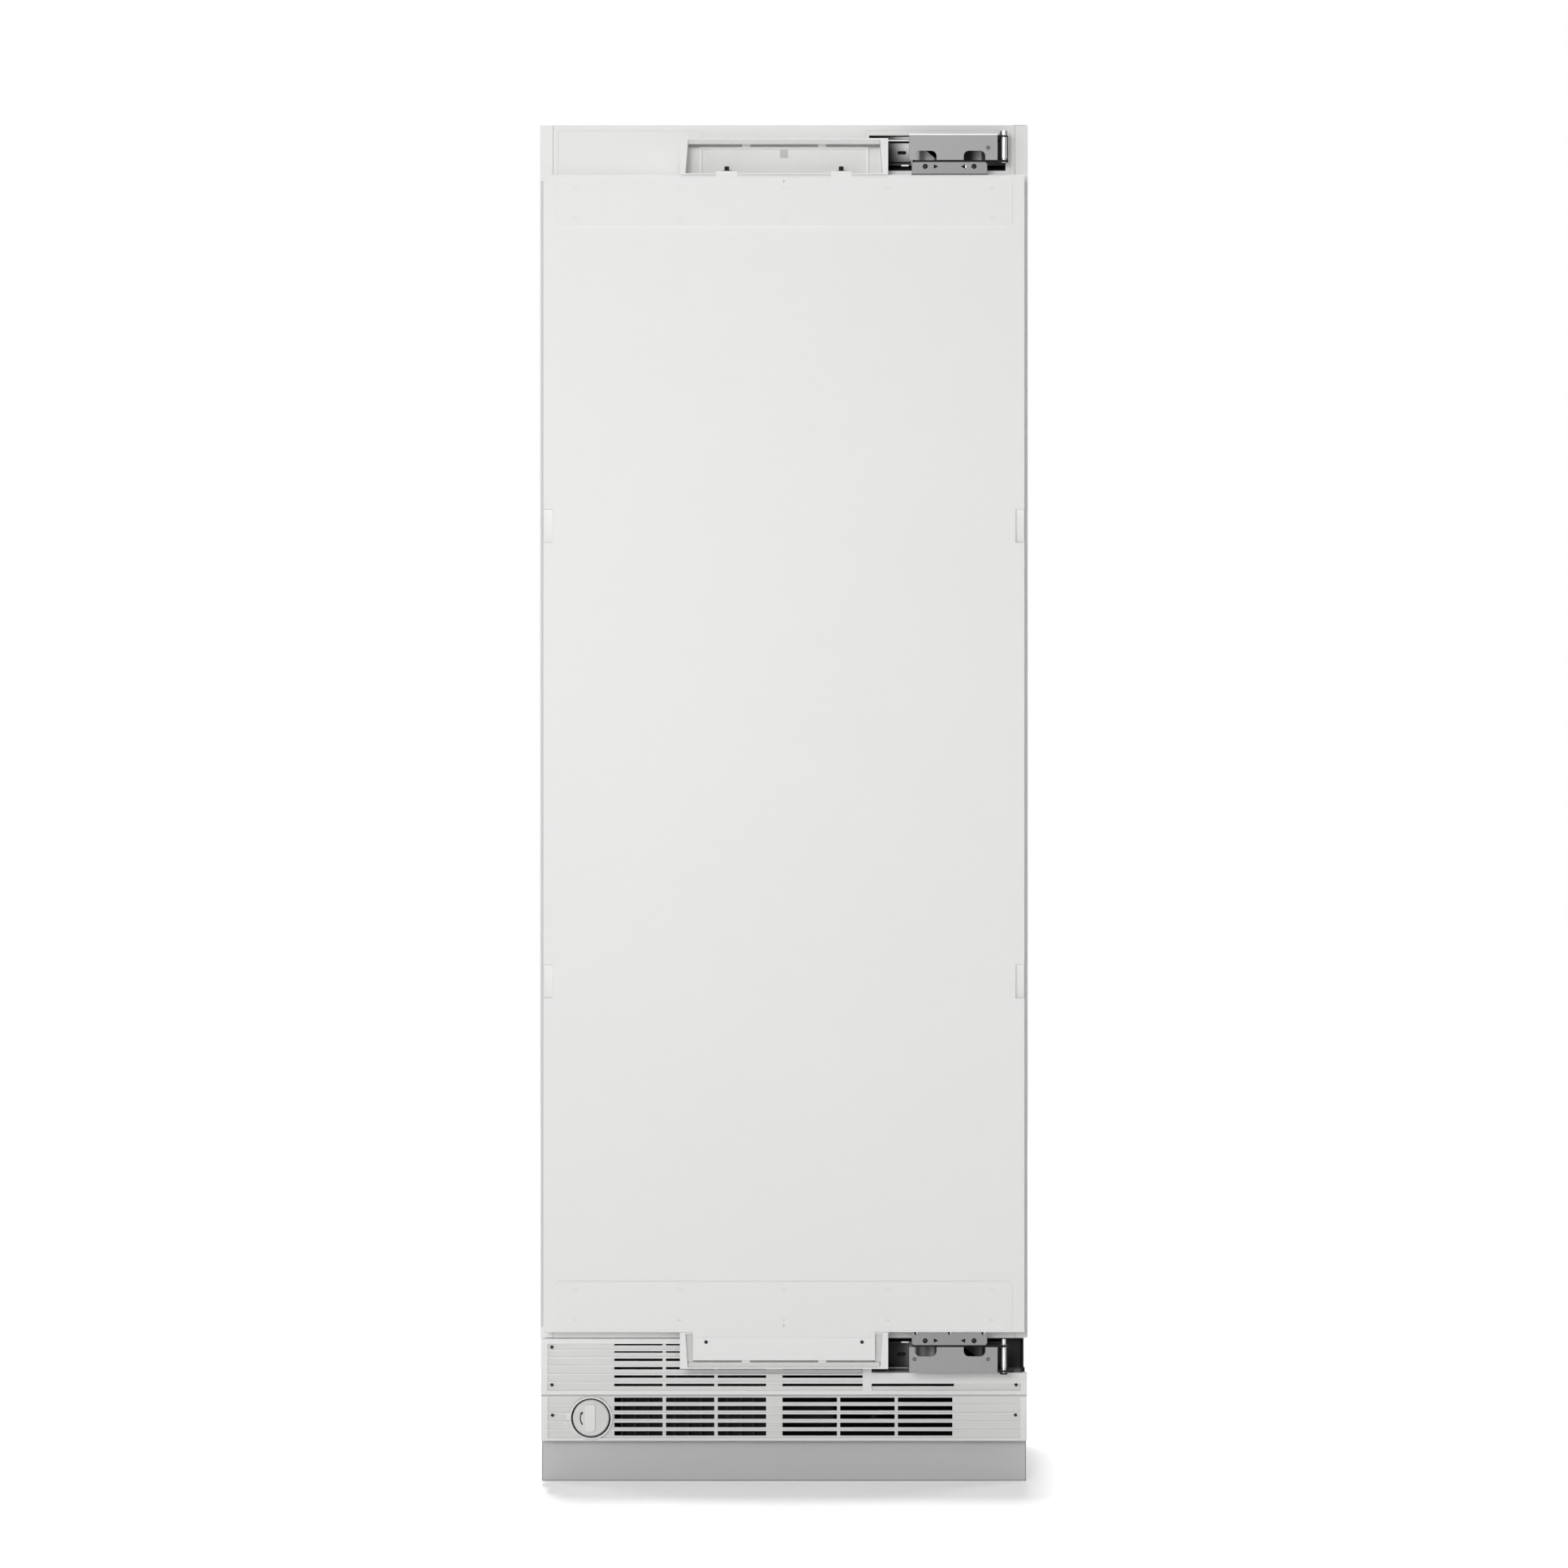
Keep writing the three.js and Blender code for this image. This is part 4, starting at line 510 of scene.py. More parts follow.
# Nodes whose shape is right take their finish, with their sheet or mould edges rounded: the finish, the
# rounding's radius and the nodes
for material, radius, *same_edge in (
    (powder_coat, 0.5, "cabinet_wrap"),
    (powder_coat, 0.4, "front_frame"),
    (powder_coat, 0.7, "side_trim_left", "side_trim_right"),
    (powder_coat, 0.55, "door_outer_panel"),
    (powder_coat, 0.3, "mounting_plate_upper", "mounting_plate_lower"),
    (moulded_abs, 0.3, "top_fascia"),
    (moulded_abs, 0.4, "hinge_cover_blank", "hinge_cover_surround"),
    (moulded_abs, 0, "panel_tray_upper", "panel_tray_lower"),
    (moulded_abs, 0.35, "upper_grille", "lower_grille"),
    (moulded_abs, 0.5, "filter_housing"),
    (liner_polystyrene, 0.8, "inner_liner"),
    (liner_polystyrene, 0.5, "evaporator_cover"),
    (liner_polystyrene, 0.8, "door_liner"),
    (gasket_pvc, 1.5, "door_gasket"),
    (zinc_plate, 0.35, "hinge_leaf_upper", "hinge_leaf_lower"),
    (arm_steel_upper, 0, "hinge_mount_upper"),
    (arm_steel_lower, 0, "hinge_mount_lower"),
    (black_abs, 0.4, "hinge_pocket_upper", "hinge_pocket_lower"),
    (black_abs, 1.5, "control_panel"),
    (black_abs, 0.3, "evaporator_fan", "condenser_fan"),
    (black_abs, 0.5, "condenser_fan_shroud", "drain_pan", "power_inlet"),
    (black_abs, 0.8, "rear_roller_left", "rear_roller_right"),
    (black_oxide, 0.25, "panel_adjuster_left", "panel_adjuster_right"),
    (toe_coat, 0.4, "toe_kick"),
    (base_coat, 0.4, "base_frame"),
    (base_coat, 0.3, "rear_cover"),
    (base_coat, 0.6, "front_foot_left", "front_foot_right"),
    (compressor_enamel, 0.5, "compressor"),
    (mill_aluminium, 0.3, "evaporator"),
    (fin_coat, 0.3, "condenser"),
    (shelf_glass, 0.6, "glass_shelf_lower", "glass_shelf_middle", "glass_shelf_upper"),
    (shelf_glass, 0.6, "crisper_cover"),
    (clear_styrene, 0.8, "crisper_drawer_lower", "crisper_drawer_upper"),
    (clear_styrene, 0.8, "door_bin_lower", "door_bin_middle", "door_bin_upper"),
    (black_abs, 0.4, "filter_cartridge"),
    (foam_cells, 0.3, "foam_insulation", "door_foam"),
):
    for node in same_edge:
        rounded(node, radius, material)


def partly(node, material, chosen):
    """Gives the faces of a rounded node whose middles are chosen, in millimetres, another finish"""
    mesh = bpy.data.objects["rounded_" + node].data
    mesh.materials.append(material)
    for face in mesh.polygons:
        if chosen(face.center / MM):
            face.material_index = len(mesh.materials) - 1


# Floors of the grilles' recesses, in a darker finish: painted shade
RECESS_DEPTH = 4
RECESS_SLACK = 0.5
for node in ("upper_grille", "lower_grille"):
    floor_y = room(node)[1][0] + RECESS_DEPTH
    partly(node, recess_shade_abs, lambda middle: abs(middle.y - floor_y) < RECESS_SLACK)

# The trays' faces behind their front rims, up to the upper one's lid, and their matt backs, in brighter
# finishes: painted light that lifts their shade
TRAY_RIM = 3
TRAY_BACK = 4
TRAY_LID = 30  # mm below the cabinet's top
lid_z = cad_box[1].z / MM - TRAY_LID
for node in ("panel_tray_upper", "panel_tray_lower"):
    rim_y = room(node)[1][0] + TRAY_RIM
    back_y = room(node)[1][1] - TRAY_BACK
    partly(node, polished_painted_light_abs, lambda middle: middle.y > rim_y and middle.z < lid_z)
    partly(node, tray_back_painted_light_abs, lambda middle: middle.y > back_y)

# The lower arm's eye is thin where it passes over the grille's ledge
EYE_FRONT = -230
EYE_TOP = 178.7
EYE_SQUASH = 0.15
for corner in bpy.data.objects["rounded_hinge_mount_lower"].data.vertices:
    x, y, z = corner.co / MM
    if y < EYE_FRONT and z < EYE_TOP:
        corner.co.z = (EYE_TOP - (EYE_TOP - z) * EYE_SQUASH) * MM

# The leaves' knuckles, round the pin and behind the plate's edge, are painted black: the pocket's shade
KNUCKLE_X = 329.3
KNUCKLE_EDGE_X = 310
for end, direction, edge_z in (("upper", -1, 2045.9), ("lower", 1, 220.8)):
    partly(
        "hinge_leaf_" + end,
        rubber_and_painted_shade,
        lambda middle: middle.x > KNUCKLE_X
        or middle.x > KNUCKLE_EDGE_X and direction * (middle.z - edge_z) > 0,
    )


# A screw's head, from its socket's bottom outwards: shares of its radius and of its rise
SCREW_PROFILE = (
    (0, 0.2), (0.42, 0.25), (0.42, 0.95), (0.75, 0.85), (1, 0.4), (1, -0.3), (0, -0.3),
)
SMALL_STEPS = 24  # sides of a small turned piece


def screw(name, place, radius, rise, body, material, slot, facing=-1):
    """A turned head with a drive socket, on a face that looks along -Y, or along +Y at facing 1"""
    profile = [(radius * out, rise * far) for out, far in SCREW_PROFILE]
    lathe(name, profile, place, body, material, axis=(0, facing, 0), steps=SMALL_STEPS)


PIN_X, PIN_Y = (sum(room("hinge_pin_upper")[axis]) / 2 for axis in (0, 1))

# Chrome plate on the ground hinge pins, with a painted reflection: bright along the middle, with the
# dark pocket painted along both sides
CHROME_PAINTED_REFLECTION = ((-6.6, "#0A0A0A"), (-4.6, "#1E1E1E"), (-3.6, "#8E8E8E"), (-2.4, "#E6E6E6"),
                (-0.6, "#FFFFFF"), (1.2, "#C9C9C9"), (3.2, "#9A9A9A"), (4.3, "#2A2A2A"),
                (6.6, "#0A0A0A"))
chrome_plate = painted_bands(
    "chrome_plated_pin", [(PIN_X + offset, colour) for offset, colour in CHROME_PAINTED_REFLECTION],
    0.8, 0.002, Roughness=0.3, Metallic=0.55,
)
DOOR_BOTTOM, DOOR_TOP = room("door_outer_panel")[2]
LEAF_FRONT = room("hinge_door_bracket_upper")[1][0]
LEAF_SHEET = 3
# The strips at this depth are black: painted shade behind the hinge's sheets
STRIP_DEPTH = (LEAF_FRONT + 1.2, LEAF_FRONT + 2.8)  # dark strips behind the hinge's sheets
PROUD = 0.15  # mm that a cut edge stands before its sheet
SKIN = 0.1  # mm by which a thin edge piece passes the face that it covers


def door_end(direction, *heights):
    """Heights counted outwards from the door's top, or downwards from its bottom"""
    edge = DOOR_TOP if direction > 0 else DOOR_BOTTOM
    return [edge + direction * height for height in heights]


# Door brackets: a rounded plate with screw seats and two punched triangles, folded onto the door's end.
# Their heights count from that end.
BRACKET_X = (PIN_X - 141.9, PIN_X - 26.1)
BRACKET_START = 0.3
BRACKET_END = 20.4
BRACKET_RADIUS = 4.4
BRACKET_FLANGE = 36
BRACKET_FLANGE_SHEET = 2.5
BRACKET_SCREW_FAR = (121.3, 46.2)  # from the pin
BRACKET_SCREW_HEIGHT = 13.6
BRACKET_SCREW_SEAT = 3.8
BRACKET_SCREW_SUNK = 1.6
BRACKET_SCREW = (3.5, 2.2)  # radius and rise, as for the other screws
TRIANGLES = ((230.4, 1), (278.6, -1))  # base's X and the way it points
TRIANGLE_LENGTH = 6.6
TRIANGLE_HALF = 3.3
TRIANGLE_HEIGHT = 13.4
NOTCH_X = (202.6, 254.3, 305.8)
NOTCH_HALF = 3.3
NOTCH_DEPTH = 5.2


def bracket_outline(direction):
    """The bracket's outline; the lower one has three V notches along its folded edge"""
    left, right = BRACKET_X
    far = round_outline(BRACKET_X, (-BRACKET_END, BRACKET_END), BRACKET_RADIUS)
    points = [(x, height) for x, height in far if height > 0]
    base = [(left, BRACKET_START)]
    if direction < 0:
        for x in NOTCH_X:
            base += [
                (x - NOTCH_HALF, BRACKET_START),
                (x, BRACKET_START + NOTCH_DEPTH),
                (x + NOTCH_HALF, BRACKET_START),
            ]
    base.append((right, BRACKET_START))
    return [(x, door_end(direction, height)[0]) for x, height in base + points]


for end, direction in (("upper", 1), ("lower", -1)):
    screw_z, triangle_z = door_end(direction, BRACKET_SCREW_HEIGHT, TRIANGLE_HEIGHT)
    holes = [
        circle_outline(PIN_X - far, screw_z, BRACKET_SCREW_SEAT) for far in BRACKET_SCREW_FAR
    ]
    triangles = [
        [
            (x, triangle_z - TRIANGLE_HALF),
            (x + way * TRIANGLE_LENGTH, triangle_z),
            (x, triangle_z + TRIANGLE_HALF),
        ]
        for x, way in TRIANGLES
    ]
    bm = bmesh.new()
    plate(
        bm,
        [bracket_outline(direction), *holes, *triangles],
        (LEAF_FRONT, LEAF_FRONT + LEAF_SHEET),
    )
    cuboid(
        bm,
        BRACKET_X,
        (LEAF_FRONT + LEAF_SHEET / 2, LEAF_FRONT + BRACKET_FLANGE),
        door_end(direction, BRACKET_START, BRACKET_START + BRACKET_FLANGE_SHEET),
    )
    piece(
        "door_bracket_" + end, bm, "door", bracket_zinc,
        ("hinge_door_bracket_" + end,), 0.3, False,
    )
    for i, far in enumerate(BRACKET_SCREW_FAR):
        place = (PIN_X - far, LEAF_FRONT + BRACKET_SCREW_SUNK, screw_z)
        screw(
            f"bracket_screw_{end}_{i}", place, *BRACKET_SCREW, "door", black_oxide, "black_steel"
        )
    # The punched triangles are filled black: painted shade of the holes
    for i, outline in enumerate(triangles):
        flat(
            f"bracket_punch_shade_{end}_{i}", [outline], (STRIP_DEPTH[0], LEAF_FRONT + LEAF_SHEET),
            "door", rubber_and_painted_shade,
        )

# A painted highlight along the base of the upper bracket's left-pointing punch
TAB_HIGHLIGHT_X = (TRIANGLES[1][0] + 0.1, TRIANGLES[1][0] + 1.6)
TAB_HIGHLIGHT_Y = (LEAF_FRONT - PROUD, LEAF_FRONT + 0.5)
TAB_HIGHLIGHT_Z = span(door_end(1, TRIANGLE_HEIGHT)[0], 4.6)
block("bracket_tab_highlight", TAB_HIGHLIGHT_X, TAB_HIGHLIGHT_Y, TAB_HIGHLIGHT_Z, "door", painted_highlight, "grey_steel", rounding=0.1)

# A black serrated strip along the upper bracket's folded end: painted shadow of the fold
TOOTH = 2.4
TOOTH_ROOT = 1.6
TOOTH_TIP = 2.3
TEETH_Y = (LEAF_FRONT - PROUD, LEAF_FRONT + 0.3)
fold, root, tip = door_end(1, BRACKET_START, TOOTH_ROOT, TOOTH_TIP)
teeth = [(BRACKET_X[1], fold), (BRACKET_X[0], fold)]
for i in range(int((BRACKET_X[1] - BRACKET_X[0]) / TOOTH) + 1):
    teeth += [(BRACKET_X[0] + i * TOOTH, root), (BRACKET_X[0] + (i + 0.5) * TOOTH, tip)]
flat("bracket_serrated_shadow", [teeth], TEETH_Y, "door", rubber_and_painted_shade)

# Hinge pins: radius, and height from the door's end
PIN_PROFILES = {
    "upper": [(0, 20.4), (3.4, 20.4), (4.5, 21.4), (4.5, 24.0), (3.6, 24.5), (3.6, 26.2), (4.8, 26.8),
              (4.8, 59.2), (4.4, 59.7), (4.4, 63.8), (3.2, 63.9), (3.2, 69.6), (0, 69.6)],
    "lower": [(0, 12.1), (3.0, 12.1), (3.0, 19.2), (3.4, 19.6), (4.2, 19.9), (4.2, 25.6), (3.5, 26.0),
              (3.75, 26.4), (3.75, 55.8), (3.2, 56.2), (3.2, 59.8), (3.9, 60.1), (3.9, 63.6), (3.2, 63.8),
              (3.2, 65.6), (0, 65.6)],
}
for end, direction in (("upper", 1), ("lower", -1)):
    profile = [(radius, door_end(direction, height)[0]) for radius, height in PIN_PROFILES[end]]
    lathe(
        "chrome_pin_" + end, profile, (PIN_X, PIN_Y, 0), "cabinet", chrome_plate,
        ("hinge_pin_" + end,),
    )

# Bush round the upper pin's end, in the arm's eye
BUSH_BOTTOM, BUSH_TOP = 2083.9, 2091.7
BUSH_RADIUS = 5.7
BUSH_NECK = BUSH_RADIUS - 0.5
BUSH_CHAMFER = 0.6
lathe(
    "chrome_bush_upper",
    [(0, BUSH_BOTTOM), (BUSH_NECK, BUSH_BOTTOM), (BUSH_RADIUS, BUSH_BOTTOM + BUSH_CHAMFER),
     (BUSH_RADIUS, BUSH_TOP - BUSH_CHAMFER), (BUSH_NECK, BUSH_TOP), (0, BUSH_TOP)],
    (PIN_X, PIN_Y, 0), "cabinet", chrome_plate,
)

# Black strips behind the pins in the arms' eyes: painted shade
PIN_SHADE_X = span(PIN_X, 12.6)
PIN_SHADE_Y = (PIN_Y + 3.4, PIN_Y + 5.0)
for end, heights in (("upper", (2046.3, 2081.8)), ("lower", (185.2, 220.4))):
    block(
        "pin_shade_" + end, PIN_SHADE_X, PIN_SHADE_Y, heights, "cabinet", rubber_and_painted_shade,
        "black_plastic", rounding=0.3,
    )

# Painted highlights and shadows along the hinge arms' edges: bright and mid-grey streaks, and black
# lines. Each has its face's Y and its place in the photograph's pixels, across and down.
STREAK_PROUD = 0.8
STREAK_SUNK = 0.3
for name, y, pxs, pys, material in (
    ("highlight_top_upper", -204, (1094, 1120.5), (171.5, 174.1), painted_highlight),
    ("shadow_top_upper", -190, (1094, 1120.5), (174.4, 176.6), rubber_and_painted_shade),
    ("shadow_bottom_upper", -190, (1094, 1122.5), (199.6, 202.2), rubber_and_painted_shade),
    ("highlight_bottom_upper", -216, (1110.5, 1119.5), (203.2, 205.0), painted_highlight),
    ("highlight_top_lower", -204, (1110.5, 1119.5), (1652.7, 1654.6), painted_highlight),
    ("highlight_bottom_lower", -204, (1095, 1119.5), (1684.3, 1686.2), painted_edge_grey),
):
    block(
        "arm_" + name, span_across(pxs, y), (y - STREAK_PROUD, y + STREAK_SUNK), span_upright(pys, y),
        "cabinet", material, "black_plastic" if material is rubber_and_painted_shade else "grey_steel",
        rounding=0.2,
    )

# A black corner at the lower pocket's end beside the grille, painted shade: ranges along X, Y and Z
POCKET_CORNER = ((368, 373.5), (-224.5, -222), (174.5, 182))
block("pocket_corner_shade", *POCKET_CORNER, "cabinet", rubber_and_painted_shade, "black_plastic", rounding=0.3)

# Rivets set flush in the hinge leaves: radius and rise, and their places in the photograph's pixels
RIVET_PROFILE = ((0, 0.35), (2.6, 0.3), (3.3, 0.05), (3.5, -0.2), (0, -0.2))
for end, px, py in (
    ("upper_right", 1217.5, 182.1),
    ("lower_left", 1126.8, 1674.5),
    ("lower_right", 1217.5, 1674.6),
):
    lathe(
        "leaf_rivet_" + end, RIVET_PROFILE,
        (across(px, LEAF_FRONT), LEAF_FRONT, upright(py, LEAF_FRONT)),
        "door", rivet_steel, axis=(0, -1, 0), steps=SMALL_STEPS,
    )

# Black strips behind the gaps at the hinge's plates, painted shade, each with its top and bottom in the
# photograph's pixels
LEAF_X = room("hinge_leaf_upper")[0]
LEAF_END = across(1229, LEAF_FRONT)
GAP_X = (BRACKET_X[0] + 1, LEAF_END)
for name, pys, xs in (
    ("upper_gap", (197.2, 200.6), GAP_X),
    ("lower_gap", (1656.8, 1659.4), GAP_X),
    ("lower_leaf_end", (1689.0, 1691.2), (LEAF_X[0] + 1, LEAF_X[1] + 9)),
    ("lower_door_end", (1641.2, 1643.2), BRACKET_X),
):
    block(
        "hinge_gap_shade_" + name, xs, STRIP_DEPTH, span_upright(pys, LEAF_FRONT), "door", rubber_and_painted_shade,
        "black_plastic",
    )

# A painted highlight along the upper leaf's top edge
EDGE_HEIGHT = 1.5
EDGE_Y = (LEAF_FRONT - PROUD, LEAF_FRONT + 1)
leaf_top = room("hinge_leaf_upper")[2][1]
block(
    "leaf_sheared_edge", (LEAF_X[0], LEAF_END), EDGE_Y, (leaf_top - EDGE_HEIGHT, leaf_top + SKIN),
    "door", painted_highlight, "grey_steel", rounding=0.1,
)

# The lower bracket's notches are painted black for their shade, with a painted highlight along one flank
FLANK_DEPTH = (LEAF_FRONT + 0.3, LEAF_FRONT + 1.3)
FLANK_LEAN = 0.2
low, high = door_end(-1, BRACKET_START, BRACKET_START + NOTCH_DEPTH)
for i, x in enumerate(NOTCH_X):
    notch = [(x - NOTCH_HALF, low), (x, high), (x + NOTCH_HALF, low)]
    flat(f"notch_shade_{i}", [notch], STRIP_DEPTH, "door", rubber_and_painted_shade)
    flank = [(x + NOTCH_HALF, low), (x + FLANK_LEAN, high), (x + NOTCH_HALF / 2, low)]
    flat(f"notch_flank_highlight_{i}", [flank], FLANK_DEPTH, "door", painted_highlight)

# Flanges behind the seams of the hinge covers, which close them off from the insulation
SEAM_REACH = 3.2
SEAM_LAP = 1
SEAM_DEPTH = (1.2, 2.6)
COVER_CORNER = 5
for node in ("hinge_cover_blank", "hinge_cover_surround"):
    xs, ys, zs = room(node)
    rings = [
        round_outline((xs[0] - out, xs[1] + out), (zs[0] - out, zs[1] + out), COVER_CORNER + out)
        for out in (SEAM_REACH, -SEAM_LAP)
    ]
    depth = [ys[0] + y for y in SEAM_DEPTH]
    flat("seam_flange_" + node, rings, depth, "cabinet", moulded_abs)

# Painted shade on the lower grille's top edge, under the upper grille's overhang
LEDGE_INSET = 0.4
LEDGE_HEIGHT = 2.8
grille_x, grille_y, grille_z = room("lower_grille")
block(
    "grille_ledge", (grille_x[0] + LEDGE_INSET, grille_x[1] - LEDGE_INSET),
    (grille_y[0] - SKIN, grille_y[0] + 0.5), (grille_z[1] - LEDGE_HEIGHT, grille_z[1] - SKIN),
    "cabinet", ledge_shade_abs, "white_plastic",
)

# Painted shade along the toe kick's left, right and bottom edges
HEM = 1.3
toe_x, toe_y, toe_z = room("toe_kick")
for name, hem_x, hem_z in (
    ("left", (toe_x[0] - SKIN, toe_x[0] + HEM), toe_z),
    ("right", (toe_x[1] - HEM, toe_x[1] + SKIN), toe_z),
    ("bottom", toe_x, (toe_z[0] - SKIN, toe_z[0] + HEM)),
):
    block(
        "painted_edge_grey_" + name, hem_x, (toe_y[0] - SKIN, toe_y[0] + 1), hem_z, body_of["toe_kick"],
        painted_edge_grey, slot_of["toe_kick"],
    )

# Screws of the cover plate and the grilles; the grilles' places are in the photograph's pixels
COVER_SCREW_X = 119.8
COVER_SCREW_HEIGHT = 15.1
COVER_SCREW = (2.7, 1.6)
GRILLE_SCREW = (2.5, 2.0)
SCREW_SUNK = 0.4
for i, x in enumerate((-COVER_SCREW_X, COVER_SCREW_X)):
    place = (x, DOOR_FRONT - SCREW_SUNK, door_end(-1, COVER_SCREW_HEIGHT)[0])
    screw(f"cover_screw_{i}", place, *COVER_SCREW, "door", black_oxide, "black_steel")
for i, (grille, px, py) in enumerate(
    (
        ("upper_grille", 680.0, 1659.8),
        ("upper_grille", 680.0, 1706.3),
        ("upper_grille", 1251.9, 1706.3),
        ("lower_grille", 680.7, 1743.7),
        ("lower_grille", 1251.3, 1743.4),
    )
):
    front = room(grille)[1][0]
    place = (across(px, front), front + SCREW_SUNK, upright(py, front))
    screw(f"grille_screw_{i}", place, *GRILLE_SCREW, "cabinet", black_oxide, "black_steel")

# Ribbed bands along the trays' lips: a sheet behind a row of ribs, in greyer whites that are painted
# shade
BAND_Y = DOOR_FRONT + 6
BAND_SHEET_Y = (BAND_Y + 0.9, BAND_Y + 2)
RIB_Y = (BAND_Y, BAND_Y + 1)
BAND_HALF = 147.2
BAND_START = 47.0
BAND_END = 54.3
UPPER_BAND_START = BAND_START + 0.9
RIB_PITCH = 20
RIB_GROOVE = 0.8
rib_edges = [i * RIB_PITCH for i in range(-7, 8)]
for end, direction, start, material in (
    ("upper", 1, UPPER_BAND_START, band_abs),
    ("lower", -1, BAND_START, recess_shade_abs),
):
    heights = door_end(direction, start, BAND_END)
    bm = bmesh.new()
    cuboid(bm, (-BAND_HALF, BAND_HALF), BAND_SHEET_Y, heights)
    for left, right in zip([-BAND_HALF, *rib_edges], [*rib_edges, BAND_HALF]):
        rib = (left + RIB_GROOVE / 2, right - RIB_GROOVE / 2)
        cuboid(bm, rib, RIB_Y, heights)
    piece("tray_band_" + end, bm, "door", material)

# The lower tray's vent slot has a grey back, painted shade, and two blocks, with flanks beside the cover
# plate
SLOT_BLOCK = (52.5, 65)
SLOT_BLOCK_Y = (BAND_Y, BAND_Y + 6)
SLOT_BACK_X = (-138, 138)
SLOT_BACK_Y = (BAND_Y + 3, BAND_Y + 4)
SLOT_LAP = 0.5
COVER_HALF = 139.7
COVER_END = 43.2
COVER_FLANK = ((COVER_HALF, 1.5), (151.5, 1.5), (148.0, BAND_START), (COVER_HALF, BAND_START))
COVER_FLANK_Y = (DOOR_FRONT + 10, DOOR_FRONT + 11)
for side, name in ((-1, "left"), (1, "right")):
    block(
        "slot_block_" + name, [side * x for x in SLOT_BLOCK], SLOT_BLOCK_Y,
        door_end(-1, COVER_END, BAND_START + SKIN), "door", moulded_abs, "white_plastic",
        rounding=0.2,
    )
    corners = [(side * x, door_end(-1, height)[0]) for x, height in COVER_FLANK]
    flat("cover_flank_" + name, [corners], COVER_FLANK_Y, "door", recess_shade_abs)
block(
    "lower_slot_back", SLOT_BACK_X, SLOT_BACK_Y,
    door_end(-1, COVER_END - SLOT_LAP, BAND_START + SLOT_LAP), "door", slot_abs, "white_plastic",
)

# The upper tray's vent slot with a grey back, painted shade, its two blocks, and the raised ridge under
# it: places in the photograph's pixels, and how far each stands before the ridge's face
RIDGE_REACH = 8
RIDGE_ROOT = 5
ridge_y = room("panel_tray_upper")[1][1] - RIDGE_REACH
for name, pxs, pys, rise, material in (
    ("slot_back", (848.5, 1084.6), (176.6, 181.2), 0.6, slot_abs),
    ("slot_block_left", (914.3, 924.5), (177.2, 181.6), 1.2, moulded_abs),
    ("slot_block_right", (1008, 1017.8), (177.2, 181.6), 1.2, moulded_abs),
    ("ridge", (862, 1069.3), (181.4, 184), 0.4, moulded_abs),
):
    front = ridge_y - rise
    block(
        "upper_tray_" + name, span_across(pxs, front), (front, ridge_y + RIDGE_ROOT),
        span_upright(pys, front), "door", material, "white_plastic",
    )

# Grey clip in the upper tray
CLIP_PX = (961.4, 970.5)
CLIP_PY = (194.5, 185.4)
CLIP_SEAT = 3
CLIP_RISE = 1.6
tray_back = room("panel_tray_upper")[1][1] - CLIP_SEAT
block(
    "tray_clip", span_across(CLIP_PX, tray_back), (tray_back - CLIP_RISE, tray_back + 0.5),
    span_upright(CLIP_PY, tray_back), "door", soft_mark, "white_plastic", rounding=0.4,
)

# Filter cap: a turned disc with a dished face and a grip bar
filter_x, filter_y, filter_z = room("filter_cap")
CAP_X = sum(filter_x) / 2
CAP_Z = sum(filter_z) / 2
CAP_RADIUS = 28
CAP_RISE = 12
CAP_DISH = 0.8  # how far the disc lies behind its rim
GRIP_PX = (720.9, 733.1)
GRIP_PY = (1764.0, 1731.0)
GRIP_CORNER = 3.6
cap_face = filter_y[1] - CAP_RISE
lathe(
    "filter_cap_body",
    [(0, 0), (CAP_RADIUS, 0), (CAP_RADIUS, CAP_RISE - 1.6), (CAP_RADIUS - 0.5, CAP_RISE - 0.6),
     (CAP_RADIUS - 1.5, CAP_RISE), (CAP_RADIUS - 3, CAP_RISE - 0.1),
     (CAP_RADIUS - 6, CAP_RISE - CAP_DISH), (0, CAP_RISE - CAP_DISH)],
    (CAP_X, filter_y[1], CAP_Z), "cap", cap_abs, ("filter_cap",), 0.7,
    axis=(0, -1, 0), steps=64,
)
grip = round_outline(
    span_across(GRIP_PX, filter_y[0]), span_upright(GRIP_PY, filter_y[0]), GRIP_CORNER
)
flat(
    "filter_cap_grip", [grip], (filter_y[0], cap_face + 1), "cap", moulded_abs,
    rounding=0.7,
)

# The curved arrow left of the grip shows which way the cap turns: radii, and angles in degrees
ARROW_RADIUS = 16.4
ARROW_HALF = 1.0
ARROW_FROM = 152
ARROW_TO = 218
ARROW_STEPS = 10
HEAD_LENGTH = 12
HEAD_LAP = 4
HEAD_HALF = 2.6
ARROW_DEPTH = (cap_face + CAP_DISH - 0.12, cap_face + CAP_DISH + 0.2)


def on_cap(radius, degrees):
    angle = math.radians(degrees)
    return (CAP_X + radius * math.cos(angle), CAP_Z + radius * math.sin(angle))


arc = [ARROW_FROM + (ARROW_TO - ARROW_FROM) * i / ARROW_STEPS for i in range(ARROW_STEPS + 1)]
sweep = [on_cap(ARROW_RADIUS + ARROW_HALF, degrees) for degrees in arc]
sweep += [on_cap(ARROW_RADIUS - ARROW_HALF, degrees) for degrees in reversed(arc)]
head = [
    on_cap(ARROW_RADIUS, ARROW_FROM - HEAD_LENGTH),
    on_cap(ARROW_RADIUS - HEAD_HALF, ARROW_FROM + HEAD_LAP),
    on_cap(ARROW_RADIUS + HEAD_HALF, ARROW_FROM + HEAD_LAP),
]
flat("cap_arrow_sweep", [sweep], ARROW_DEPTH, "cap", mark_ink)
flat("cap_arrow_head", [head], ARROW_DEPTH, "cap", mark_ink)

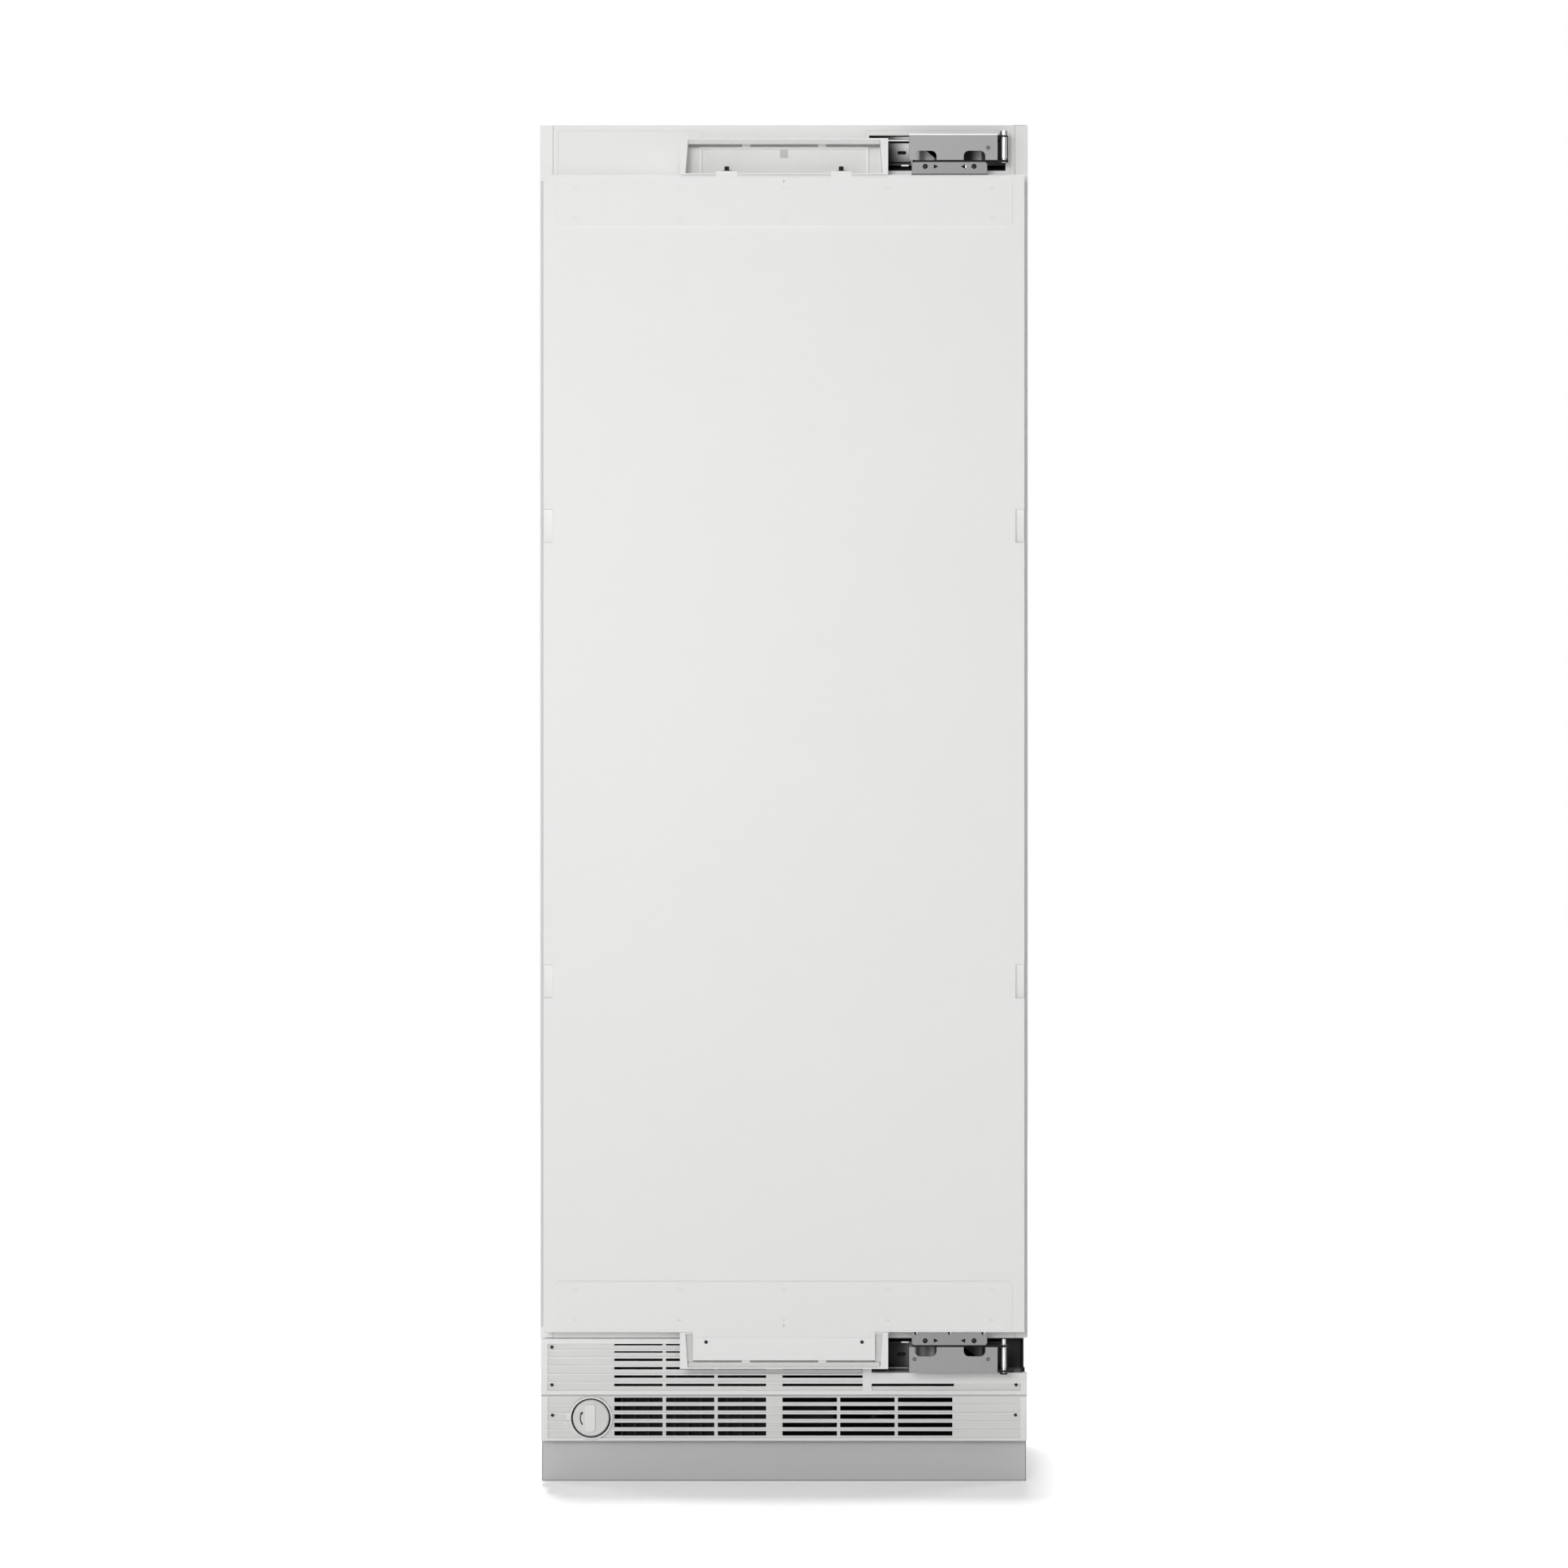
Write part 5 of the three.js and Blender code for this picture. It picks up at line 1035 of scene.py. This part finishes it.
# The collar round the cap is turned smooth over the housing's front
housing_x, housing_y = room("filter_housing")[:2]
housing_front = housing_y[0]
COLLAR_RADIUS = (housing_x[1] - housing_x[0]) / 2 + 0.15
COLLAR_BORE = 30.7
COLLAR_BACK = -3
COLLAR_RISE = 0.3
lathe(
    "collar_ring",
    [(COLLAR_BORE, COLLAR_BACK), (COLLAR_BORE, -0.3), (COLLAR_BORE + 0.6, COLLAR_RISE),
     (COLLAR_RADIUS - 0.8, COLLAR_RISE), (COLLAR_RADIUS, -0.5), (COLLAR_RADIUS, COLLAR_BACK),
     (COLLAR_BORE, COLLAR_BACK)],
    (CAP_X, housing_front, CAP_Z), "cabinet", moulded_abs, axis=(0, -1, 0),
    steps=96,
)

# Index tab at the left of the collar
TAB_PX = (697.5, 702.5)
TAB_PY = (1750, 1741)
TAB_Y = (housing_front + 0.4, housing_front + 4)
block(
    "collar_index_tab", span_across(TAB_PX, housing_front), TAB_Y,
    span_upright(TAB_PY, housing_front), "cabinet", moulded_abs, "white_plastic", rounding=0.4,
)

# Plain arrows pressed in the middle of each mounting plate, at these pixels of the photograph
PLATE_MIDDLE_PX = 965.8
SHAFT = 3.0
SHAFT_HALF = 0.45
POINT = 3.0
POINT_HALF = 2.2
plate_front = room("mounting_plate_upper")[1][0]
mark_y = (plate_front - 0.08, plate_front + 0.3)
for end, py, way in (("upper", 223.5, 1), ("lower", 1633.0, -1)):
    x, z = across(PLATE_MIDDLE_PX, plate_front), upright(py, plate_front)
    points = [
        (x - SHAFT_HALF, z - way * SHAFT),
        (x + SHAFT_HALF, z - way * SHAFT),
        (x + SHAFT_HALF, z),
        (x + POINT_HALF, z),
        (x, z + way * POINT),
        (x - POINT_HALF, z),
        (x - SHAFT_HALF, z),
    ]
    flat("plate_arrow_" + end, [points], mark_y, "door", soft_mark)

# Inside: shelf fronts, bin rails, drawer pulls, the light's lens and the display
SHELF_INSET = 10
RAIL_HEIGHT = (14, 2)  # below the bin's rim
RAIL_RISE = 0.8
for name in ("lower", "middle", "upper"):
    xs, ys, zs = room("glass_shelf_" + name)
    rim_x = (xs[0] + SHELF_INSET, xs[1] - SHELF_INSET)
    bm = bmesh.new()
    cuboid(bm, rim_x, (ys[0] - 1.6, ys[0] - 0.2), (zs[0] - 0.5, zs[1] + 0.8))
    cuboid(bm, rim_x, (ys[0] - 0.6, ys[0] + 7), (zs[1] + 0.1, zs[1] + 0.9))
    piece("shelf_front_" + name, bm, "cabinet", anodised, rounding=0.3)
    xs, ys, zs = room("door_bin_" + name)
    block(
        "bin_rail_" + name, (xs[0] + 1, xs[1] - 1), (ys[1] - 0.4, ys[1] + RAIL_RISE),
        [zs[1] - down for down in RAIL_HEIGHT], "door", anodised, "aluminium", rounding=0.3,
    )
PULL_X = (-150, 150)
PULL_REACH = 10
PULL_WALL = 2.5
PULL_TOP = 5  # below the drawer's rim
for name in ("lower", "upper"):
    xs, ys, zs = room("crisper_drawer_" + name)
    front = ys[0] - PULL_REACH
    top = zs[1] - PULL_TOP
    bm = bmesh.new()
    cuboid(bm, PULL_X, (front, ys[0] + 1), (top - 4, top))
    cuboid(bm, PULL_X, (front, front + PULL_WALL), (top - 17, top))
    piece(
        "drawer_pull_" + name, bm, "drawer_" + name, clear_styrene,
        rounding=0.8,
    )
LENS_X = (-180, 180)
DISPLAY_X = (-110, 110)
DISPLAY_INSET = 4
xs, ys, zs = room("control_panel")
block(
    "interior_light_lens", LENS_X, (ys[0] + 30, ys[1] - 12), (zs[0] - 1.2, zs[0] + 0.5), "cabinet",
    light_lens, "white_plastic", rounding=0.5,
)
block(
    "display_window", DISPLAY_X, (ys[0] - 0.6, ys[0] + 0.5),
    (zs[0] + DISPLAY_INSET, zs[1] - DISPLAY_INSET), "cabinet", display_glass, "black_plastic",
    rounding=0.25,
)

# The left trim's front edge beside the door, in the door's shade: a greyer strip with a greyer line
# along it, both painted shade
ROLL_Z = (244.5, 2021.5)
left_trim_front = room("side_trim_left")[1][0]
for name, strip_x, rise, material in (
    ("roll", (-377.9, -372.5), 0.06, trim_edge_shade),
    ("hollow", (-375.1, -373.7), 0.12, trim_line_shade),
):
    block(
        "left_trim_" + name, strip_x, (left_trim_front - rise, left_trim_front + 0.5), ROLL_Z,
        "cabinet", material, "white_paint",
    )

# Dark zinc strip along the top edge of the right trim
trim_x, trim_y, trim_z = room("side_trim_right")
strip_x = (trim_x[0] - 3, trim_x[1] - 2)
strip_y = (trim_y[0] + 0.3, trim_y[0] + 6)
strip_z = (trim_z[1] - 0.2, trim_z[1] + 0.5)
block("trim_top_line", strip_x, strip_y, strip_z, "cabinet", bracket_zinc, "grey_steel")

# The cabinet's sheet is folded over its back panel and screwed to it
FOLD = 16
FOLD_INSET = 0.5
FOLD_RISE = 0.8
FOLD_SCREWS = 7
FOLD_SCREW_MARGIN = 60
BACK_SCREW = (3.6, 1.6)  # radius and rise
wrap_x, wrap_y, wrap_z = room("cabinet_wrap")
for name, fold_x, fold_z in (
    ("left", (wrap_x[0] + FOLD_INSET, wrap_x[0] + FOLD), wrap_z),
    ("right", (wrap_x[1] - FOLD, wrap_x[1] - FOLD_INSET), wrap_z),
    ("top", (wrap_x[0] + FOLD, wrap_x[1] - FOLD), (wrap_z[1] - FOLD, wrap_z[1] - FOLD_INSET)),
):
    block(
        "wrap_fold_" + name, fold_x, (wrap_y[1] - 0.2, wrap_y[1] + FOLD_RISE), fold_z, "cabinet",
        powder_coat, "white_paint", rounding=0.3,
    )
fold_run = wrap_z[1] - wrap_z[0] - 2 * FOLD_SCREW_MARGIN
for i in range(FOLD_SCREWS):
    z = wrap_z[0] + FOLD_SCREW_MARGIN + fold_run * i / (FOLD_SCREWS - 1)
    for side, x in (("left", wrap_x[0] + FOLD / 2), ("right", wrap_x[1] - FOLD / 2)):
        screw(
            f"fold_screw_{side}_{i}", (x, wrap_y[1] + FOLD_RISE, z), *BACK_SCREW, "cabinet",
            zinc_plate, "grey_steel", 1,
        )

# Black foam sheet behind the rear cover's louvres, which keeps dust out of the machine space
FOAM_X = (-280, 365)
FOAM_SHEET = 0.9
FOAM_HEIGHT = (-1.5, 126)  # from the cover's bottom
cover_y, cover_z = room("rear_cover")[1:]
block(
    "rear_dust_foam", FOAM_X, (cover_y[0] - FOAM_SHEET, cover_y[0] - 0.05),
    [cover_z[0] + up for up in FOAM_HEIGHT], "cabinet", rubber_and_painted_shade, "black_plastic",
)

# Fasteners of the rear cover, in two rows
REAR_SCREW_X = (-350, -120, 120, 350)
REAR_SCREW_MARGIN = 8
rows = (cover_z[0] + REAR_SCREW_MARGIN, cover_z[1] - REAR_SCREW_MARGIN)
for i, (x, z) in enumerate((x, z) for x in REAR_SCREW_X for z in rows):
    screw(
        f"rear_screw_{i}", (x, cover_y[1], z), *BACK_SCREW, "cabinet", zinc_plate, "grey_steel", 1
    )


# Stage: a white floor that keeps the shadow, a white world and soft studio light
def seen_directly(tree):
    """1 for a ray that the camera, a mirror or clear plastic sees, and 0 for light"""
    path = add_node(tree, "LightPath").outputs
    first = add_node(
        tree, "Math", {0: path["Is Camera Ray"], 1: path["Is Glossy Ray"]}, operation="MAXIMUM"
    ).outputs[0]
    return add_node(
        tree, "Math", {0: first, 1: path["Is Transmission Ray"]}, operation="MAXIMUM"
    ).outputs[0]


FLOOR_HALF = 30  # m
FLOOR_LIFT = 0.34  # brightness that the floor adds for the camera, so that it reads as white
FLOOR_WHITE = linear("#F0F0F0")
FLOOR_BOUNCE = linear("#D8D8D8")  # what the floor returns to the object
WORLD_LIGHT = 0.21
bm = bmesh.new()
bmesh.ops.create_grid(bm, x_segments=1, y_segments=1, size=FLOOR_HALF)
floor_mesh = bpy.data.meshes.new("floor")
bm.to_mesh(floor_mesh)
bm.free()
floor = bpy.data.objects.new("floor", floor_mesh)
bpy.context.scene.collection.objects.link(floor)
floor_material = bpy.data.materials.new("white_floor")
floor_material.use_nodes = True
tree = floor_material.node_tree
tree.nodes.clear()
lift = add_node(tree, "Math", {0: seen_directly(tree), 1: FLOOR_LIFT}, operation="MULTIPLY")
shade = add_node(
    tree, "Mix", {"Factor": seen_directly(tree), "A": FLOOR_BOUNCE, "B": FLOOR_WHITE},
    data_type="RGBA",
)
matt = add_node(tree, "BsdfDiffuse", {"Color": shade.outputs["Result"]})
glow = add_node(tree, "Emission", {"Strength": lift.outputs[0]})
both = add_node(tree, "AddShader", {0: matt.outputs[0], 1: glow.outputs[0]})
add_node(tree, "OutputMaterial", {"Surface": both.outputs[0]})
floor_mesh.materials.append(floor_material)

world = bpy.data.worlds.new("studio")
bpy.context.scene.world = world
world.use_nodes = True
tree = world.node_tree
tree.nodes.clear()
dim = add_node(tree, "Background", {"Color": (1, 1, 1, 1), "Strength": WORLD_LIGHT})
white = add_node(tree, "Background", {"Color": (1, 1, 1, 1), "Strength": 1.0})
chosen = add_node(
    tree, "MixShader", {0: seen_directly(tree), 1: dim.outputs[0], 2: white.outputs[0]}
)
add_node(tree, "OutputWorld", {"Surface": chosen.outputs[0]})

# Soft lamps: one beside the camera that reaches into the trays, one from the upper left that darkens
# the door downwards, and three that light only the sides and the back. Places and sizes are in
# metres, and power in watts.
for name, place, size, power in (
    ("front", (-1.0, -8.6, 1.9), 1.8, 225),
    ("left", (-3.4, -7.0, 3.4), 3.5, 30),
    ("side_left", (-6.0, 4.2, 2.6), 3.0, 150),
    ("side_right", (6.0, 4.2, 2.6), 3.0, 150),
    ("back", (1.5, 7.5, 3.0), 3.0, 40),
):
    lamp = bpy.data.objects.new(name, bpy.data.lights.new(name, "AREA"))
    bpy.context.scene.collection.objects.link(lamp)
    lamp.data.shape = "DISK"
    lamp.data.size = size
    lamp.data.energy = power
    lamp.location = place
    aim = Vector((0, 0, CAMERA_HEIGHT * MM)) - Vector(place)
    lamp.rotation_euler = aim.to_track_quat("-Z", "Y").to_euler()

# Two even overhead lights that lean a few degrees, back and to the left, leave the soft shadow in front
# of the toe kick
OVERHEAD_LIGHT = 0.88
OVERHEAD_WIDTH = 3.0  # degrees that each light takes up, which softens its shadow's edge
for name, back, left in (("overhead_near", 3.0, 0.8), ("overhead_far", 5.6, 0.8)):
    lamp = bpy.data.objects.new(name, bpy.data.lights.new(name, "SUN"))
    bpy.context.scene.collection.objects.link(lamp)
    lamp.data.energy = OVERHEAD_LIGHT
    lamp.data.angle = math.radians(OVERHEAD_WIDTH)
    lamp.rotation_euler = (-math.radians(back), -math.radians(left), 0)

bpy.context.scene.view_settings.view_transform = "Standard"

low, high = cad_box
